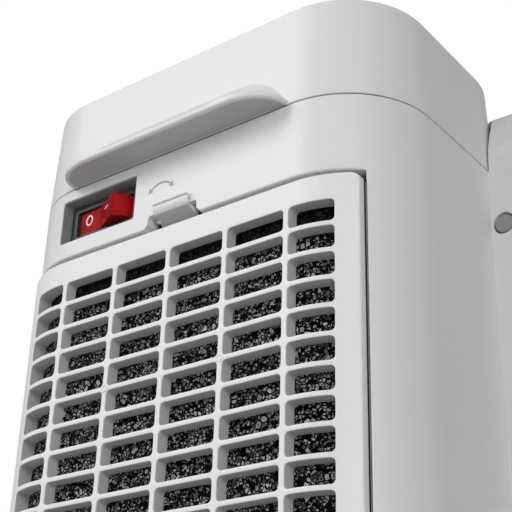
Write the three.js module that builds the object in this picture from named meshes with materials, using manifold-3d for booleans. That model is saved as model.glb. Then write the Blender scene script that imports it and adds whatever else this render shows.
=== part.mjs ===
// Ceramic tower heater on a round oscillating base, seen in the photograph from behind and below.
// Millimetres, +Z up. The front faces -Y. The origin is the centre of the base on the floor.
import * as THREE from 'three';
import { mergeGeometries, mergeVertices } from 'three/addons/utils/BufferGeometryUtils.js';
import Module from 'manifold-3d';

const wasm = await Module();
wasm.setup();

// Column: a rounded rectangle in plan, closed by a cap
const columnWidth = 190.6;
const columnDepth = 122;
const columnCornerRadius = 38.1;
const columnFootHeight = 44;
const capTopHeight = 620;
const capHeight = 45.7;
const capDraft = 1.8;
const housingWall = 2.5;
const seamGap = 0.5;

// Wide front part: a slab whose rear top edge is a large round
const flangeReach = 16.7;
const frontReach = 9;
const frontDepth = 45;
const partingSetback = 23;
const frontTopRadius = 42;
const frontTopDrop = 2;
const flangeEdgeRadius = 6;
const frontEdgeRadius = 14;

// Clearances shared by all pieces
const touchGap = 0.3;
const runningGap = 0.6;
const cutOverrun = 2;

// Filter cover: a grille that wraps both rear corners
const coverEdgeInset = 12.5;
const coverSeamDrop = 34.7;
const coverThickness = 5;
const coverProud = 0.6;
const coverSideProud = 1.7;
const coverSideGap = 1;
const coverEndGap = 1.7;
const coverHeader = 10.4;
const coverFooter = 10.4;
const coverRimWidth = 8.07;
const grilleFootHeight = 190;
const slotRowPitch = 10.52;
const slotHeight = 8.61;
const slotColumns = 6;
const slotColumnPitch = 28;
const slotBarWidth = 2.24;
const coverHookWidth = 16;
const coverHookPlace = 45;
const coverHookLength = 6;

// Foam filter and the guard behind it
const foamThickness = 5;
const foamSideReach = 1.3;
const foamHeaderReach = 1.5;
const guardThickness = 2;
const guardSideInset = 3.8;
const guardBarWidth = 4;
const guardRows = 5;
const guardColumns = 4;

// Cover latch: a bulged finger tab in a notch of the housing
const notchWidth = 25;
const notchHeight = 6;
const latchWidth = 19;
const latchTopReach = 4;
const latchBulge = 2.6;
const latchArmThickness = 2.4;
const latchArmWidth = 14;
const latchPinRadius = 1;
const latchSwingGap = 1;
const latchPinDrop = 5.5;
const latchEarThickness = 2;

// Handle: a hollow ledge on the back of the cap, gripped from below
const handleX = 1;
const handleHalf = 58;
const handleReach = 14.7;
const handleRound = 9;
const handleLip = 1.4;
const handleRise = 15.7;
const handleTopHalf = 36;
const handleTopRound = 4;
const handleSink = 0.6;
const handleRoot = 5;
const handleArcSteps = 5;
const handleWall = 2.5;

// Rocker switch in its recess
const recessLeftEnd = 63.3;
const recessRightEnd = 20.8;
const recessSeamDrop = 4.7;
const recessHeight = 20.3;
const recessDepth = 7;
const bezelMargin = 0.8;
const bezelThickness = 1.3;
const rockerWidth = 10.4;
const rockerEndRadius = 15;
const rockerHalfLength = 12;
const rockerValleyDepth = 2.3;
const rockerPivotDepth = 11.35;
const rockerPivotX = 43.1;
const rockerTilt = 16;
const rockerRootDepth = 7;
const switchWall = 1.8;
const switchBodyDepth = 19;

// Controls on the cap
const panelSideInset = 15.3;
const panelFrontSetback = 24;
const panelRearSetback = 47;
const panelRecess = 2;
const panelThickness = 1.4;
const panelRim = 3;
const knobSpacing = 76;
const knobRadius = 19;
const knobSkirtHeight = 4;
const knobGripHeight = 9;
const knobGripWidth = 9;
const knobGripShare = 0.9;
const knobStemRadius = 3;
const knobStemLength = 15;
const controlBodyWidth = 28;
const controlBodyDepth = 24;
const controlBodyHeight = 18;
const lensRadius = 3.4;
const lensHeight = 4;

// Air path
const ductPlateThickness = 2;
const ductTopDrop = 8.1;
const ductFloorDrop = 6;
const ductFrontGap = 2;
const fanX = 4;
const fanRadiusShare = 0.43;
const fanRearGap = 7;
const fanEndGap = 5;
const fanBlades = 20;
const fanBladeThickness = 1.6;
const fanBladeChord = 10;
const fanDiscThickness = 2.4;
const fanDiscs = 3;
const fanHubRadius = 8;
const shaftRadius = 3;
const bushRadius = 9;
const bushHeight = 6;
const voluteWall = 2;
const voluteStartGap = 4;
const voluteGrowth = 20;
const voluteStartAngle = 115;
const voluteSweep = 75;
const voluteSteps = 12;
const tongueGap = 5;
const tongueWidth = 17;
const tongueRise = 14;
const motorRadius = 30;
const motorHeight = 46;
const bracketThickness = 3.4;
const bracketHalfWidth = 38;

// Heater
const heaterHalfWidth = 58;
const heaterSetback = 5;
const heaterDepth = 15;
const heaterRail = 8;
const heaterEndRail = 14;
const elementGap = 0.4;
const elementDepth = 11;
const elementFins = 12;
const elementFinShare = 0.45;
const elementCoreHalfWidth = 6;
const cutoutRadius = 7;
const cutoutHeight = 6;
const fuseLength = 22;
const fuseRadius = 3;

// Outlet grille in the front panel
const outletHalfWidth = 62;
const outletLowHeight = 160;
const outletTopDrop = 72;
const outletCornerRadius = 10;
const grilleDepth = 9;
const grilleInset = 1;
const grilleFrame = 7;
const grilleRows = 27;
const grilleBarShare = 0.3;
const grilleSpineWidth = 5;
const grilleLip = 4;
const grilleLipThickness = 2.2;

// Flange screws
const screwInset = 11.6;
const screwTopDrop = 71.3;
const screwFootRise = 67;
const screwRows = 3;
const screwHeadRadius = 4.1;
const screwHeadHeight = 3;
const screwRecessRadius = 4.6;
const screwRecessDepth = 8;
const screwShankRadius = 2;
const bossRadius = 6.5;
const bossEndGap = 3.2;

// Base
const baseRadius = 125;
const baseTopHeight = 36;
const baseWall = 2.5;
const baseRimHeight = 5;
const baseRimLift = 3.5;
const baseSlopeWidth = 39;
const baseShoulderInShare = 0.12;
const baseShoulderUpShare = 0.42;
const baseBrowInShare = 0.45;
const baseBrowUpShare = 0.82;
const basePlateThickness = 2.5;
const footRadius = 10;
const footInset = 25;
const footCount = 4;
const ballastInnerShare = 0.64;
const ballastOuterShare = 0.832;
const ballastHeight = 6.7;
const slideWidth = 12;
const slideInset = 14;
const slideThickness = 2.2;
const turntableInset = 8;
const hubRadius = 22;
const hubBore = 11;
const hubDrop = 8.8;
const armThickness = 3.2;
const armWidth = 18;
const armEndGap = 14;
const armDiscRadius = 30;
const crankPlaceShare = 0.32;
const crankRadiusShare = 0.24;
const crankPinRadius = 3;
const crankSlotPlay = 1.6;
const crankThickness = 3.5;
const crankEyeRadius = 8;
const crankTipRadius = 6;
const crankPinReach = 7.5;
const oscMotorRadius = 24;
const oscMotorHeight = 13.4;
const oscShaftRadius = 2.5;
const tipSideShare = 0.384;
const tipRearShare = 0.24;
const tipBodyWidth = 26;
const tipBodyDepth = 18;
const tipBodyHeight = 17.7;
const plungerRadius = 4;
const plungerLength = 17.8;
const plungerFloorGap = 0.2;
const glandHeight = 14.4;
const glandBore = 3.3;
const glandRadius = 5;
const glandFlangeRadius = 7.5;
const glandFlangeThickness = 2.3;
const glandLength = 15;
const hoodWidth = 22;
const hoodSetback = 3;
const hoodRound = 6;
const terminalWidth = 34;
const terminalDepth = 16;
const terminalHeight = 14;
const terminalX = 52;

// Heights and faces that follow from the sizes above
const columnHalf = columnWidth / 2;
const rearY = columnDepth / 2;
const frontY = -rearY - frontReach;
const flangeY = frontY + frontDepth;
const partingY = flangeY - partingSetback;
const frontHalf = columnHalf + flangeReach;
const seamHeight = capTopHeight - capHeight;
const frontTop = capTopHeight - frontTopDrop;
const floorTop = columnFootHeight + housingWall;
const coverHalfWidth = columnHalf - coverEdgeInset;
const grilleHalfWidth = coverHalfWidth - coverRimWidth;
const coverTop = seamHeight - coverSeamDrop;
const gridTop = coverTop - coverHeader;
const slotRows = Math.floor((gridTop - grilleFootHeight) / slotRowPitch);
const gridBottom = gridTop - (slotRows - 1) * slotRowPitch - slotHeight;
const coverBottom = gridBottom - coverFooter;
const openingTop = coverTop + coverEndGap;
const openingBottom = coverBottom - coverEndGap;
const notchTop = openingTop + notchHeight;
const coverInset = coverThickness - coverProud;
const foamInset = coverInset + touchGap;
const guardInset = foamInset + foamThickness + touchGap;
const guardHalfWidth = coverHalfWidth - guardSideInset;
const ductTop = coverTop - ductTopDrop;
const ductFloor = coverBottom - ductFloorDrop;
const ductFrontY = partingY + ductFrontGap;
const heaterRearY = flangeY - heaterSetback;
const guardFrontY = rearY - guardInset - guardThickness;
const fanRadius = fanRadiusShare * (guardFrontY - heaterRearY);
const fanY = guardFrontY - fanRearGap - fanRadius;
const tongueInnerX = fanX + fanRadius + tongueGap;
const tongueOuterX = tongueInnerX + tongueWidth;
const tongueRearY = fanY + tongueRise;
const outletHighHeight = capTopHeight - outletTopDrop;
const recessTop = seamHeight - recessSeamDrop;
const recessBottom = recessTop - recessHeight;
const recessFloorY = rearY - recessDepth;
const rockerZ = (recessTop + recessBottom) / 2;
const rockerPivotY = rearY - rockerPivotDepth;
const baseFlatRadius = baseRadius - baseSlopeWidth;
const ballastInnerRadius = ballastInnerShare * baseRadius;
const ballastOuterRadius = ballastOuterShare * baseRadius;
const slideOuterRadius = baseFlatRadius - slideInset;
const turntableRadius = baseFlatRadius - turntableInset;
const crankY = -crankPlaceShare * baseRadius;
const crankRadius = crankRadiusShare * baseRadius;
const armReach = crankRadius - crankY + armEndGap;
const tipX = tipSideShare * baseRadius;
const tipY = tipRearShare * baseRadius;
const hoodFaceY = baseRadius - hoodSetback;
const baseCeiling = baseTopHeight - baseWall;
const basePlateTop = baseRimLift + basePlateThickness;
const slideTop = baseTopHeight + touchGap + slideThickness;
const turntableTop = columnFootHeight - touchGap;
const hubBottom = slideTop + touchGap - hubDrop;
const armTop = hubBottom - touchGap;
const panelFloor = capTopHeight - panelRecess;
const panelHalfWidth = columnHalf - panelSideInset;
const panelFrontY = frontY + panelFrontSetback;
const panelRearY = rearY - panelRearSetback;
const knobY = (panelFrontY + panelRearY) / 2;
const knobBottom = panelFloor + touchGap + panelThickness + runningGap;

const shellWhite = { color: 0xe6e6e6, roughness: 0.45, metalness: 0 };
const coverWhite = { color: 0xdededf, roughness: 0.5, metalness: 0 };
const black = { color: 0x1c1d1f, roughness: 0.55, metalness: 0 };
const darkGrey = { color: 0x4a4d50, roughness: 0.6, metalness: 0 };
const redLens = { color: 0xc01218, roughness: 0.25, metalness: 0 };
const steel = { color: 0x9a9da0, roughness: 0.35, metalness: 0.9 };
const zinc = { color: 0xb8bcc0, roughness: 0.45, metalness: 0.85 };
const aluminium = { color: 0xc8cacc, roughness: 0.4, metalness: 0.9 };
const brass = { color: 0xb8924a, roughness: 0.35, metalness: 0.9 };
const nylon = { color: 0xe9e4d6, roughness: 0.55, metalness: 0 };
const rubber = { color: 0x222222, roughness: 0.9, metalness: 0 };
const mica = { color: 0xb9ad92, roughness: 0.8, metalness: 0 };

const heater = new THREE.Group();

// Closed outline through points
function outline(points) {
  return new THREE.Shape(points.map(([a, b]) => new THREE.Vector2(a, b)));
}

// Rectangle
function rectangle(lowA, highA, lowB, highB) {
  return outline([[lowA, lowB], [highA, lowB], [highA, highB], [lowA, highB]]);
}

// Rectangle centred on the first axis whose low and high corners have their own radii
function roundedOutline(half, low, high, lowRadius, highRadius) {
  const quarter = Math.PI / 2;
  const shape = new THREE.Shape();
  shape.moveTo(-half + lowRadius, low);
  shape.lineTo(half - lowRadius, low);
  shape.absarc(half - lowRadius, low + lowRadius, lowRadius, -quarter, 0, false);
  shape.lineTo(half, high - highRadius);
  shape.absarc(half - highRadius, high - highRadius, highRadius, 0, quarter, false);
  shape.lineTo(-half + highRadius, high);
  shape.absarc(-half + highRadius, high - highRadius, highRadius, quarter, 2 * quarter, false);
  shape.lineTo(-half, low + lowRadius);
  shape.absarc(-half + lowRadius, low + lowRadius, lowRadius, 2 * quarter, 3 * quarter, false);
  return shape;
}

// Extrusion of an X, Y outline from one height to another
function prism(shape, low, high, curveSegments = 3) {
  const options = { depth: high - low, bevelEnabled: false, curveSegments };
  return new THREE.ExtrudeGeometry(shape, options).translate(0, 0, low);
}

// Extrusion of a Y, Z outline along X
function alongX(shape, low, high, curveSegments = 3) {
  const turn = new THREE.Matrix4().makeBasis(
    new THREE.Vector3(0, 1, 0), new THREE.Vector3(0, 0, 1), new THREE.Vector3(1, 0, 0));
  return prism(shape, low, high, curveSegments).applyMatrix4(turn);
}

// Extrusion of an X, Z outline along Y
function alongY(shape, low, high, curveSegments = 3) {
  const turn = new THREE.Matrix4().makeBasis(
    new THREE.Vector3(1, 0, 0), new THREE.Vector3(0, 0, 1), new THREE.Vector3(0, -1, 0));
  return prism(shape, -high, -low, curveSegments).applyMatrix4(turn);
}

function box(lowX, highX, lowY, highY, lowZ, highZ) {
  return prism(rectangle(lowX, highX, lowY, highY), lowZ, highZ);
}

// Turned piece about a vertical axis, from radius and height pairs
function turned(pairs, segments = 20, x = 0, y = 0) {
  const points = pairs.map(([radius, height]) => new THREE.Vector2(radius, height));
  return new THREE.LatheGeometry(points, segments).rotateX(Math.PI / 2).translate(x, y, 0);
}

function disc(radius, low, high, x = 0, y = 0, segments = 20) {
  return turned([[0, low], [radius, low], [radius, high], [0, high]], segments, x, y);
}

function ring(inner, outer, low, high, x = 0, y = 0, segments = 20) {
  const pairs = [[inner, low], [outer, low], [outer, high], [inner, high], [inner, low]];
  return turned(pairs, segments, x, y);
}

// Round bar along Y
function barY(radius, lowY, highY, x, z, segments = 12) {
  return disc(radius, lowY, highY, 0, 0, segments).rotateX(-Math.PI / 2).translate(x, 0, z);
}

// Round bar along X
function barX(radius, lowX, highX, y, z, segments = 8) {
  return disc(radius, lowX, highX, 0, 0, segments).rotateY(Math.PI / 2).translate(0, y, z);
}

// Closed mesh as a solid for joining and cutting
function solid(shape) {
  if (shape instanceof wasm.Manifold) return shape;
  const bare = shape.index ? shape.toNonIndexed() : shape.clone();
  bare.deleteAttribute('normal');
  bare.deleteAttribute('uv');
  const merged = mergeVertices(bare);
  return new wasm.Manifold(new wasm.Mesh({
    numProp: 3,
    vertProperties: merged.attributes.position.array,
    triVerts: new Uint32Array(merged.index.array),
  }));
}

function join(...shapes) {
  return shapes.map(solid).reduce((whole, next) => whole.add(next));
}

function cut(shape, ...cutters) {
  return cutters.map(solid).reduce((whole, next) => whole.subtract(next), solid(shape));
}

function common(shape, other) {
  return solid(shape).intersect(solid(other));
}

function geometryOf(shape) {
  if (!(shape instanceof wasm.Manifold)) return shape;
  const mesh = shape.getMesh();
  const geometry = new THREE.BufferGeometry();
  geometry.setAttribute('position', new THREE.BufferAttribute(mesh.vertProperties, 3));
  geometry.setIndex(new THREE.BufferAttribute(mesh.triVerts, 1));
  geometry.computeVertexNormals();
  return geometry;
}

function add(name, shape, finish) {
  const mesh = new THREE.Mesh(geometryOf(shape), new THREE.MeshStandardMaterial(finish));
  mesh.name = name;
  heater.add(mesh);
}

// Plan of the column, drawn in by an inset and widened by a side reach
function columnOutline(inset, sideReach = 0) {
  const radius = columnCornerRadius - inset;
  return roundedOutline(columnHalf + sideReach - inset, -rearY + inset, rearY - inset, radius, radius);
}

function columnSolid(inset, low, high, sideReach = 0) {
  return prism(columnOutline(inset, sideReach), low, high);
}

// Slab of the wide front part, drawn in by an inset
function slabSolid(inset, low) {
  const plan = roundedOutline(
    frontHalf - inset, frontY + inset, flangeY - inset, frontEdgeRadius - inset, flangeEdgeRadius - inset);
  const side = new THREE.Shape();
  side.moveTo(frontY - cutOverrun, low);
  side.lineTo(flangeY - inset, low);
  side.lineTo(flangeY - inset, frontTop - frontTopRadius);
  side.absarc(
    flangeY - frontTopRadius, frontTop - frontTopRadius, frontTopRadius - inset, 0, Math.PI / 2, false);
  side.lineTo(frontY - cutOverrun, frontTop - inset);
  return common(prism(plan, low, frontTop), alongX(side, -frontHalf, frontHalf, 5));
}

// Everything in front of or behind a plane across Y
function halfSpace(lowY, highY) {
  return box(-frontHalf - cutOverrun, frontHalf + cutOverrun, lowY, highY, 0, capTopHeight + cutOverrun);
}

function screwPlaces() {
  const top = capTopHeight - screwTopDrop;
  const bottom = columnFootHeight + screwFootRise;
  const places = [];
  for (let row = 0; row < screwRows; row += 1) {
    const z = top - (row * (top - bottom)) / (screwRows - 1);
    places.push([frontHalf - screwInset, z], [-frontHalf + screwInset, z]);
  }
  return places;
}

function rearHousing() {
  const capSpace = columnSolid(-seamGap, seamHeight, capTopHeight + cutOverrun);
  const shell = cut(
    join(columnSolid(0, columnFootHeight, seamHeight), slabSolid(0, columnFootHeight)),
    capSpace,
    columnSolid(housingWall, floorTop, seamHeight + cutOverrun),
    slabSolid(housingWall, floorTop),
    halfSpace(frontY - cutOverrun, partingY + touchGap));
  const recessBlock = box(
    recessRightEnd - housingWall, recessLeftEnd + housingWall,
    recessFloorY - housingWall, rearY - housingWall, recessBottom - housingWall, recessTop + housingWall);
  const bosses = screwPlaces().map(([x, z]) => barY(
    bossRadius, partingY + touchGap, flangeY - housingWall / 2, x, z));
  const body = join(shell, recessBlock, ...bosses);
  const filterOpening = box(
    -coverHalfWidth - coverSideGap, coverHalfWidth + coverSideGap,
    rearY - columnCornerRadius / 2 + housingWall, rearY + cutOverrun, openingBottom, openingTop);
  const notch = box(
    -notchWidth / 2, notchWidth / 2, rearY - 2 * housingWall, rearY + cutOverrun,
    openingTop - cutOverrun, notchTop);
  const recess = box(
    recessRightEnd, recessLeftEnd, recessFloorY, rearY + cutOverrun, recessBottom, recessTop);
  const switchHole = box(
    rockerPivotX - switchHalfLength() - touchGap, rockerPivotX + switchHalfLength() + touchGap,
    recessFloorY - 2 * housingWall, rearY, rockerZ - switchHalfWidth() - touchGap,
    rockerZ + switchHalfWidth() + touchGap);
  const wireHole = disc(hubBore, 0, floorTop + cutOverrun);
  const recesses = screwPlaces().map(([x, z]) => barY(
    screwRecessRadius, flangeY - screwRecessDepth, flangeY + cutOverrun, x, z));
  const holes = screwPlaces().map(([x, z]) => barY(
    screwShankRadius + 2 * touchGap, partingY - cutOverrun, flangeY, x, z, 8));
  return cut(body, filterOpening, notch, recess, switchHole, wireHole, ...recesses, ...holes);
}

function frontPanel() {
  const bossBack = partingY - touchGap;
  const holeEnd = frontY + housingWall + bossEndGap;
  const slabCore = slabSolid(housingWall / 2, columnFootHeight);
  const bosses = screwPlaces().map(([x, z]) => common(
    barY(bossRadius, frontY + housingWall / 2, bossBack, x, z), slabCore));
  const holes = screwPlaces().map(([x, z]) => barY(
    screwShankRadius + 2 * touchGap, holeEnd, partingY + cutOverrun, x, z, 8));
  const shell = cut(
    slabSolid(0, columnFootHeight),
    slabSolid(housingWall, floorTop),
    columnSolid(-seamGap, seamHeight, capTopHeight + cutOverrun),
    columnSolid(housingWall, floorTop, seamHeight + cutOverrun),
    halfSpace(partingY - touchGap, rearY));
  const outlet = alongY(
    roundedOutline(
      outletHalfWidth, outletLowHeight, outletHighHeight, outletCornerRadius, outletCornerRadius),
    frontY - cutOverrun, frontY + 2 * housingWall);
  return cut(join(shell, ...bosses), outlet, ...holes);
}

// Outlet grille: louvres between a frame and a spine, held by a lip behind the panel
function outletGrille() {
  const half = outletHalfWidth - touchGap;
  const low = outletLowHeight + touchGap;
  const high = outletHighHeight - touchGap;
  const front = frontY + grilleInset;
  const lipFront = frontY + housingWall + touchGap;
  const plate = alongY(
    roundedOutline(half, low, high, outletCornerRadius, outletCornerRadius), front, front + grilleDepth);
  const lip = alongY(
    rectangle(-half - grilleLip, half + grilleLip, low - grilleLip, high + grilleLip),
    lipFront, lipFront + grilleLipThickness);
  const pitch = (high - low - 2 * grilleFrame) / grilleRows;
  const slots = [];
  for (let row = 0; row < grilleRows; row += 1) {
    const bottom = low + grilleFrame + row * pitch + (grilleBarShare * pitch) / 2;
    const top = bottom + (1 - grilleBarShare) * pitch;
    slots.push(box(-half + grilleFrame, -grilleSpineWidth / 2, front - cutOverrun,
      front + grilleDepth + cutOverrun, bottom, top));
    slots.push(box(grilleSpineWidth / 2, half - grilleFrame, front - cutOverrun,
      front + grilleDepth + cutOverrun, bottom, top));
  }
  return cut(join(plate, lip), mergeGeometries(slots));
}

// Walls between two outlines with the same number of points, closed at both ends
function loft(lowPoints, highPoints, low, high) {
  const count = lowPoints.length;
  const positions = [];
  lowPoints.forEach((p) => positions.push(p.x, p.y, low));
  highPoints.forEach((p) => positions.push(p.x, p.y, high));
  const index = [];
  for (let i = 0; i < count; i += 1) {
    const next = (i + 1) % count;
    index.push(i, next, count + next, i, count + next, count + i);
  }
  THREE.ShapeUtils.triangulateShape(lowPoints, []).forEach(([a, b, c]) => {
    index.push(c, b, a, count + a, count + b, count + c);
  });
  const geometry = new THREE.BufferGeometry();
  geometry.setAttribute('position', new THREE.Float32BufferAttribute(positions, 3));
  geometry.setIndex(index);
  return geometry;
}

function outlinePoints(inset) {
  const points = columnOutline(inset).getPoints(3);
  return points.filter((p, i) => i === 0 || p.distanceTo(points[i - 1]) > touchGap / 10);
}

// Plan of the handle at one level: straight sides, rounded outer corners, its root inside the cap
function handlePlan(half, outerY, round, rootY) {
  const points = [new THREE.Vector2(handleX - half, rootY), new THREE.Vector2(handleX + half, rootY)];
  [1, -1].forEach((side) => {
    for (let step = 0; step <= handleArcSteps; step += 1) {
      const turn = (Math.PI / 2) * (step / handleArcSteps);
      const angle = side > 0 ? turn : Math.PI / 2 - turn;
      points.push(new THREE.Vector2(
        handleX + side * (half - round + round * Math.cos(angle)),
        outerY - round + round * Math.sin(angle)));
    }
  });
  return points;
}

// Ledge that is level below, upright over the lip and then slopes back into the wall of the cap
function handleSolid() {
  const low = seamHeight + seamGap;
  const wide = handlePlan(handleHalf, rearY + handleReach, handleRound, rearY - handleRoot);
  const narrow = handlePlan(handleTopHalf, rearY - handleSink, handleTopRound, rearY - handleRoot);
  return join(
    loft(wide, wide, low, low + handleLip),
    loft(wide, narrow, low + handleLip, low + handleRise));
}

// Hollow of the ledge, open to the inside of the cap
function handleHollow() {
  const low = seamHeight + seamGap;
  const wide = handlePlan(
    handleHalf - 2 * handleWall, rearY + handleReach - 2 * handleWall, handleRound - handleWall,
    rearY - handleRoot);
  const narrow = handlePlan(
    handleTopHalf - handleWall, rearY - handleSink - handleWall, handleTopRound - handleWall,
    rearY - handleRoot);
  return loft(wide, narrow, low + handleWall, low + handleRise - handleWall / 2);
}

function topCap() {
  const bottom = seamHeight + seamGap;
  const outer = loft(outlinePoints(0), outlinePoints(capDraft), bottom, capTopHeight);
  const inner = loft(
    outlinePoints(housingWall), outlinePoints(housingWall + capDraft),
    bottom - cutOverrun, capTopHeight - housingWall);
  const panelBlock = box(
    -panelHalfWidth - panelRim, panelHalfWidth + panelRim, panelFrontY - panelRim, panelRearY + panelRim,
    panelFloor - panelRim, capTopHeight - housingWall / 2);
  const body = join(cut(join(outer, handleSolid()), inner), panelBlock);
  const knobHoles = [-1, 1].map((side) => disc(
    knobStemRadius + runningGap, seamHeight, capTopHeight, (side * knobSpacing) / 2, knobY, 16));
  return cut(
    body,
    handleHollow(),
    box(-panelHalfWidth, panelHalfWidth, panelFrontY, panelRearY, panelFloor, capTopHeight + cutOverrun),
    disc(lensRadius + touchGap, panelFloor - lensHeight / 2, capTopHeight, 0, knobY, 16),
    ...knobHoles);
}

function controlPanel() {
  const low = panelFloor + touchGap;
  const plate = box(
    -panelHalfWidth + touchGap, panelHalfWidth - touchGap, panelFrontY + touchGap, panelRearY - touchGap,
    low, low + panelThickness);
  const holes = [-1, 1].map((side) => disc(
    knobStemRadius + runningGap, 0, capTopHeight + cutOverrun, (side * knobSpacing) / 2, knobY, 16));
  return cut(plate, disc(lensRadius + touchGap, 0, capTopHeight + cutOverrun, 0, knobY, 16), ...holes);
}

function knob(x) {
  const gripHalf = knobRadius * knobGripShare;
  const top = knobBottom + knobSkirtHeight + knobGripHeight;
  return join(
    disc(knobRadius, knobBottom, knobBottom + knobSkirtHeight, x, knobY, 32),
    box(x - knobGripWidth / 2, x + knobGripWidth / 2, knobY - gripHalf, knobY + gripHalf,
      knobBottom + knobSkirtHeight / 2, top),
    disc(knobStemRadius, knobBottom - knobStemLength, knobBottom + knobSkirtHeight / 2, x, knobY, 12));
}

function controlBody(x) {
  const top = panelFloor - panelRim - touchGap;
  const half = controlBodyWidth / 2;
  return cut(
    box(x - half, x + half, knobY - controlBodyDepth / 2, knobY + controlBodyDepth / 2,
      top - controlBodyHeight, top),
    disc(knobStemRadius + runningGap, knobBottom - knobStemLength - runningGap, capTopHeight, x, knobY, 12));
}

// Band that follows the back of the column between two insets, limited in width and height
function rearBand(outerInset, innerInset, half, low, high, sideReach = 0) {
  const band = cut(columnSolid(outerInset, low, high, sideReach),
    columnSolid(innerInset, low - cutOverrun, high + cutOverrun));
  return common(band, box(-half, half, rearY - columnCornerRadius, rearY + cutOverrun, low, high));
}

function slotEdges(column) {
  const first = column - slotColumns / 2;
  const low = column === 0 ? -grilleHalfWidth : first * slotColumnPitch + slotBarWidth / 2;
  const last = column === slotColumns - 1;
  const high = last ? grilleHalfWidth : (first + 1) * slotColumnPitch - slotBarWidth / 2;
  return [low, high];
}

function filterCover() {
  const plate = rearBand(
    -coverProud, coverInset, coverHalfWidth, coverBottom, coverTop, coverSideProud);
  const slots = [];
  for (let row = 0; row < slotRows; row += 1) {
    const top = gridTop - row * slotRowPitch;
    for (let column = 0; column < slotColumns; column += 1) {
      const [low, high] = slotEdges(column);
      slots.push(box(low, high, rearY - columnCornerRadius, rearY + cutOverrun, top - slotHeight, top));
    }
  }
  const innerY = rearY - coverInset;
  const hooks = [-1, 1].map((side) => box(
    side * coverHookPlace - coverHookWidth / 2, side * coverHookPlace + coverHookWidth / 2,
    innerY - latchArmThickness, innerY + touchGap,
    coverBottom - coverHookLength, coverBottom + coverFooter / 2));
  const ears = [-1, 1].map((side) => {
    const x = side * (latchArmWidth / 2 + runningGap + latchEarThickness / 2);
    return box(x - latchEarThickness / 2, x + latchEarThickness / 2,
      latchPinY() - 2 * latchPinRadius, innerY + touchGap,
      latchPinZ() - 2 * latchPinRadius, latchPinZ() + 2 * latchPinRadius);
  });
  const pinHole = barX(
    latchPinRadius + touchGap, -latchArmWidth, latchArmWidth, latchPinY(), latchPinZ());
  return cut(join(cut(plate, mergeGeometries(slots)), ...hooks, ...ears), pinHole);
}

function latchPinY() {
  return rearY - coverInset - latchSwingGap - 2 * latchPinRadius;
}

function latchPinZ() {
  return coverTop - latchPinDrop;
}

// Latch: a bulged tab over the notch, on an arm that turns on the pin behind the cover
function coverLatch() {
  const bottom = coverTop + latchSwingGap;
  const top = notchTop + latchTopReach;
  const skinY = rearY + runningGap;
  const middle = (bottom + top) / 2;
  const reach = (top - bottom) / 2;
  const tab = new THREE.Shape();
  tab.moveTo(skinY - latchArmThickness, bottom);
  tab.lineTo(skinY + coverProud, bottom);
  tab.absellipse(skinY + coverProud, middle, latchBulge, reach, -Math.PI / 2, Math.PI / 2, false, 0);
  tab.lineTo(skinY, top);
  tab.lineTo(skinY, notchTop - latchArmThickness);
  tab.lineTo(skinY - latchArmThickness, notchTop - latchArmThickness);
  const armBack = latchPinY() - 2 * latchPinRadius;
  const armFront = rearY - coverInset - latchSwingGap;
  const arm = join(
    alongX(rectangle(armBack, armFront, latchPinZ() - 2 * latchPinRadius, bottom + latchArmThickness),
      -latchArmWidth / 2, latchArmWidth / 2),
    alongX(rectangle(armBack, skinY, bottom + touchGap, bottom + latchArmThickness),
      -latchArmWidth / 2, latchArmWidth / 2));
  const pinHole = barX(
    latchPinRadius + touchGap, -latchArmWidth, latchArmWidth, latchPinY(), latchPinZ());
  return cut(join(alongX(tab, -latchWidth / 2, latchWidth / 2, 4), arm), pinHole);
}

function intakeGuard() {
  const low = ductFloor + touchGap;
  const high = ductTop - touchGap;
  const plate = rearBand(guardInset, guardInset + guardThickness, guardHalfWidth, low, high);
  const openings = [];
  const wide = (2 * guardHalfWidth - guardBarWidth) / guardColumns;
  const tall = (high - low - guardBarWidth) / guardRows;
  for (let row = 0; row < guardRows; row += 1) {
    for (let column = 0; column < guardColumns; column += 1) {
      const left = -guardHalfWidth + guardBarWidth + column * wide;
      const bottom = low + guardBarWidth + row * tall;
      openings.push(box(left, left + wide - guardBarWidth, 0, rearY,
        bottom, bottom + tall - guardBarWidth));
    }
  }
  return cut(plate, mergeGeometries(openings));
}

// Half sizes of the switch body that passes the floor of its recess
function switchHalfLength() {
  return rockerEndRadius + runningGap / 2 + switchWall;
}

function switchHalfWidth() {
  return rockerWidth / 2 + runningGap + switchWall;
}

function switchBody() {
  const bezelBack = recessFloorY + touchGap;
  const bezel = box(
    recessRightEnd + bezelMargin, recessLeftEnd - bezelMargin, bezelBack, bezelBack + bezelThickness,
    recessBottom + bezelMargin, recessTop - bezelMargin);
  const body = box(
    rockerPivotX - switchHalfLength(), rockerPivotX + switchHalfLength(),
    bezelBack - switchBodyDepth, bezelBack + bezelThickness / 2,
    rockerZ - switchHalfWidth(), rockerZ + switchHalfWidth());
  const well = box(
    rockerPivotX - switchHalfLength() + switchWall, rockerPivotX + switchHalfLength() - switchWall,
    bezelBack - switchBodyDepth + switchWall, rearY,
    rockerZ - switchHalfWidth() + switchWall, rockerZ + switchHalfWidth() - switchWall);
  return cut(join(bezel, body), well);
}

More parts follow.
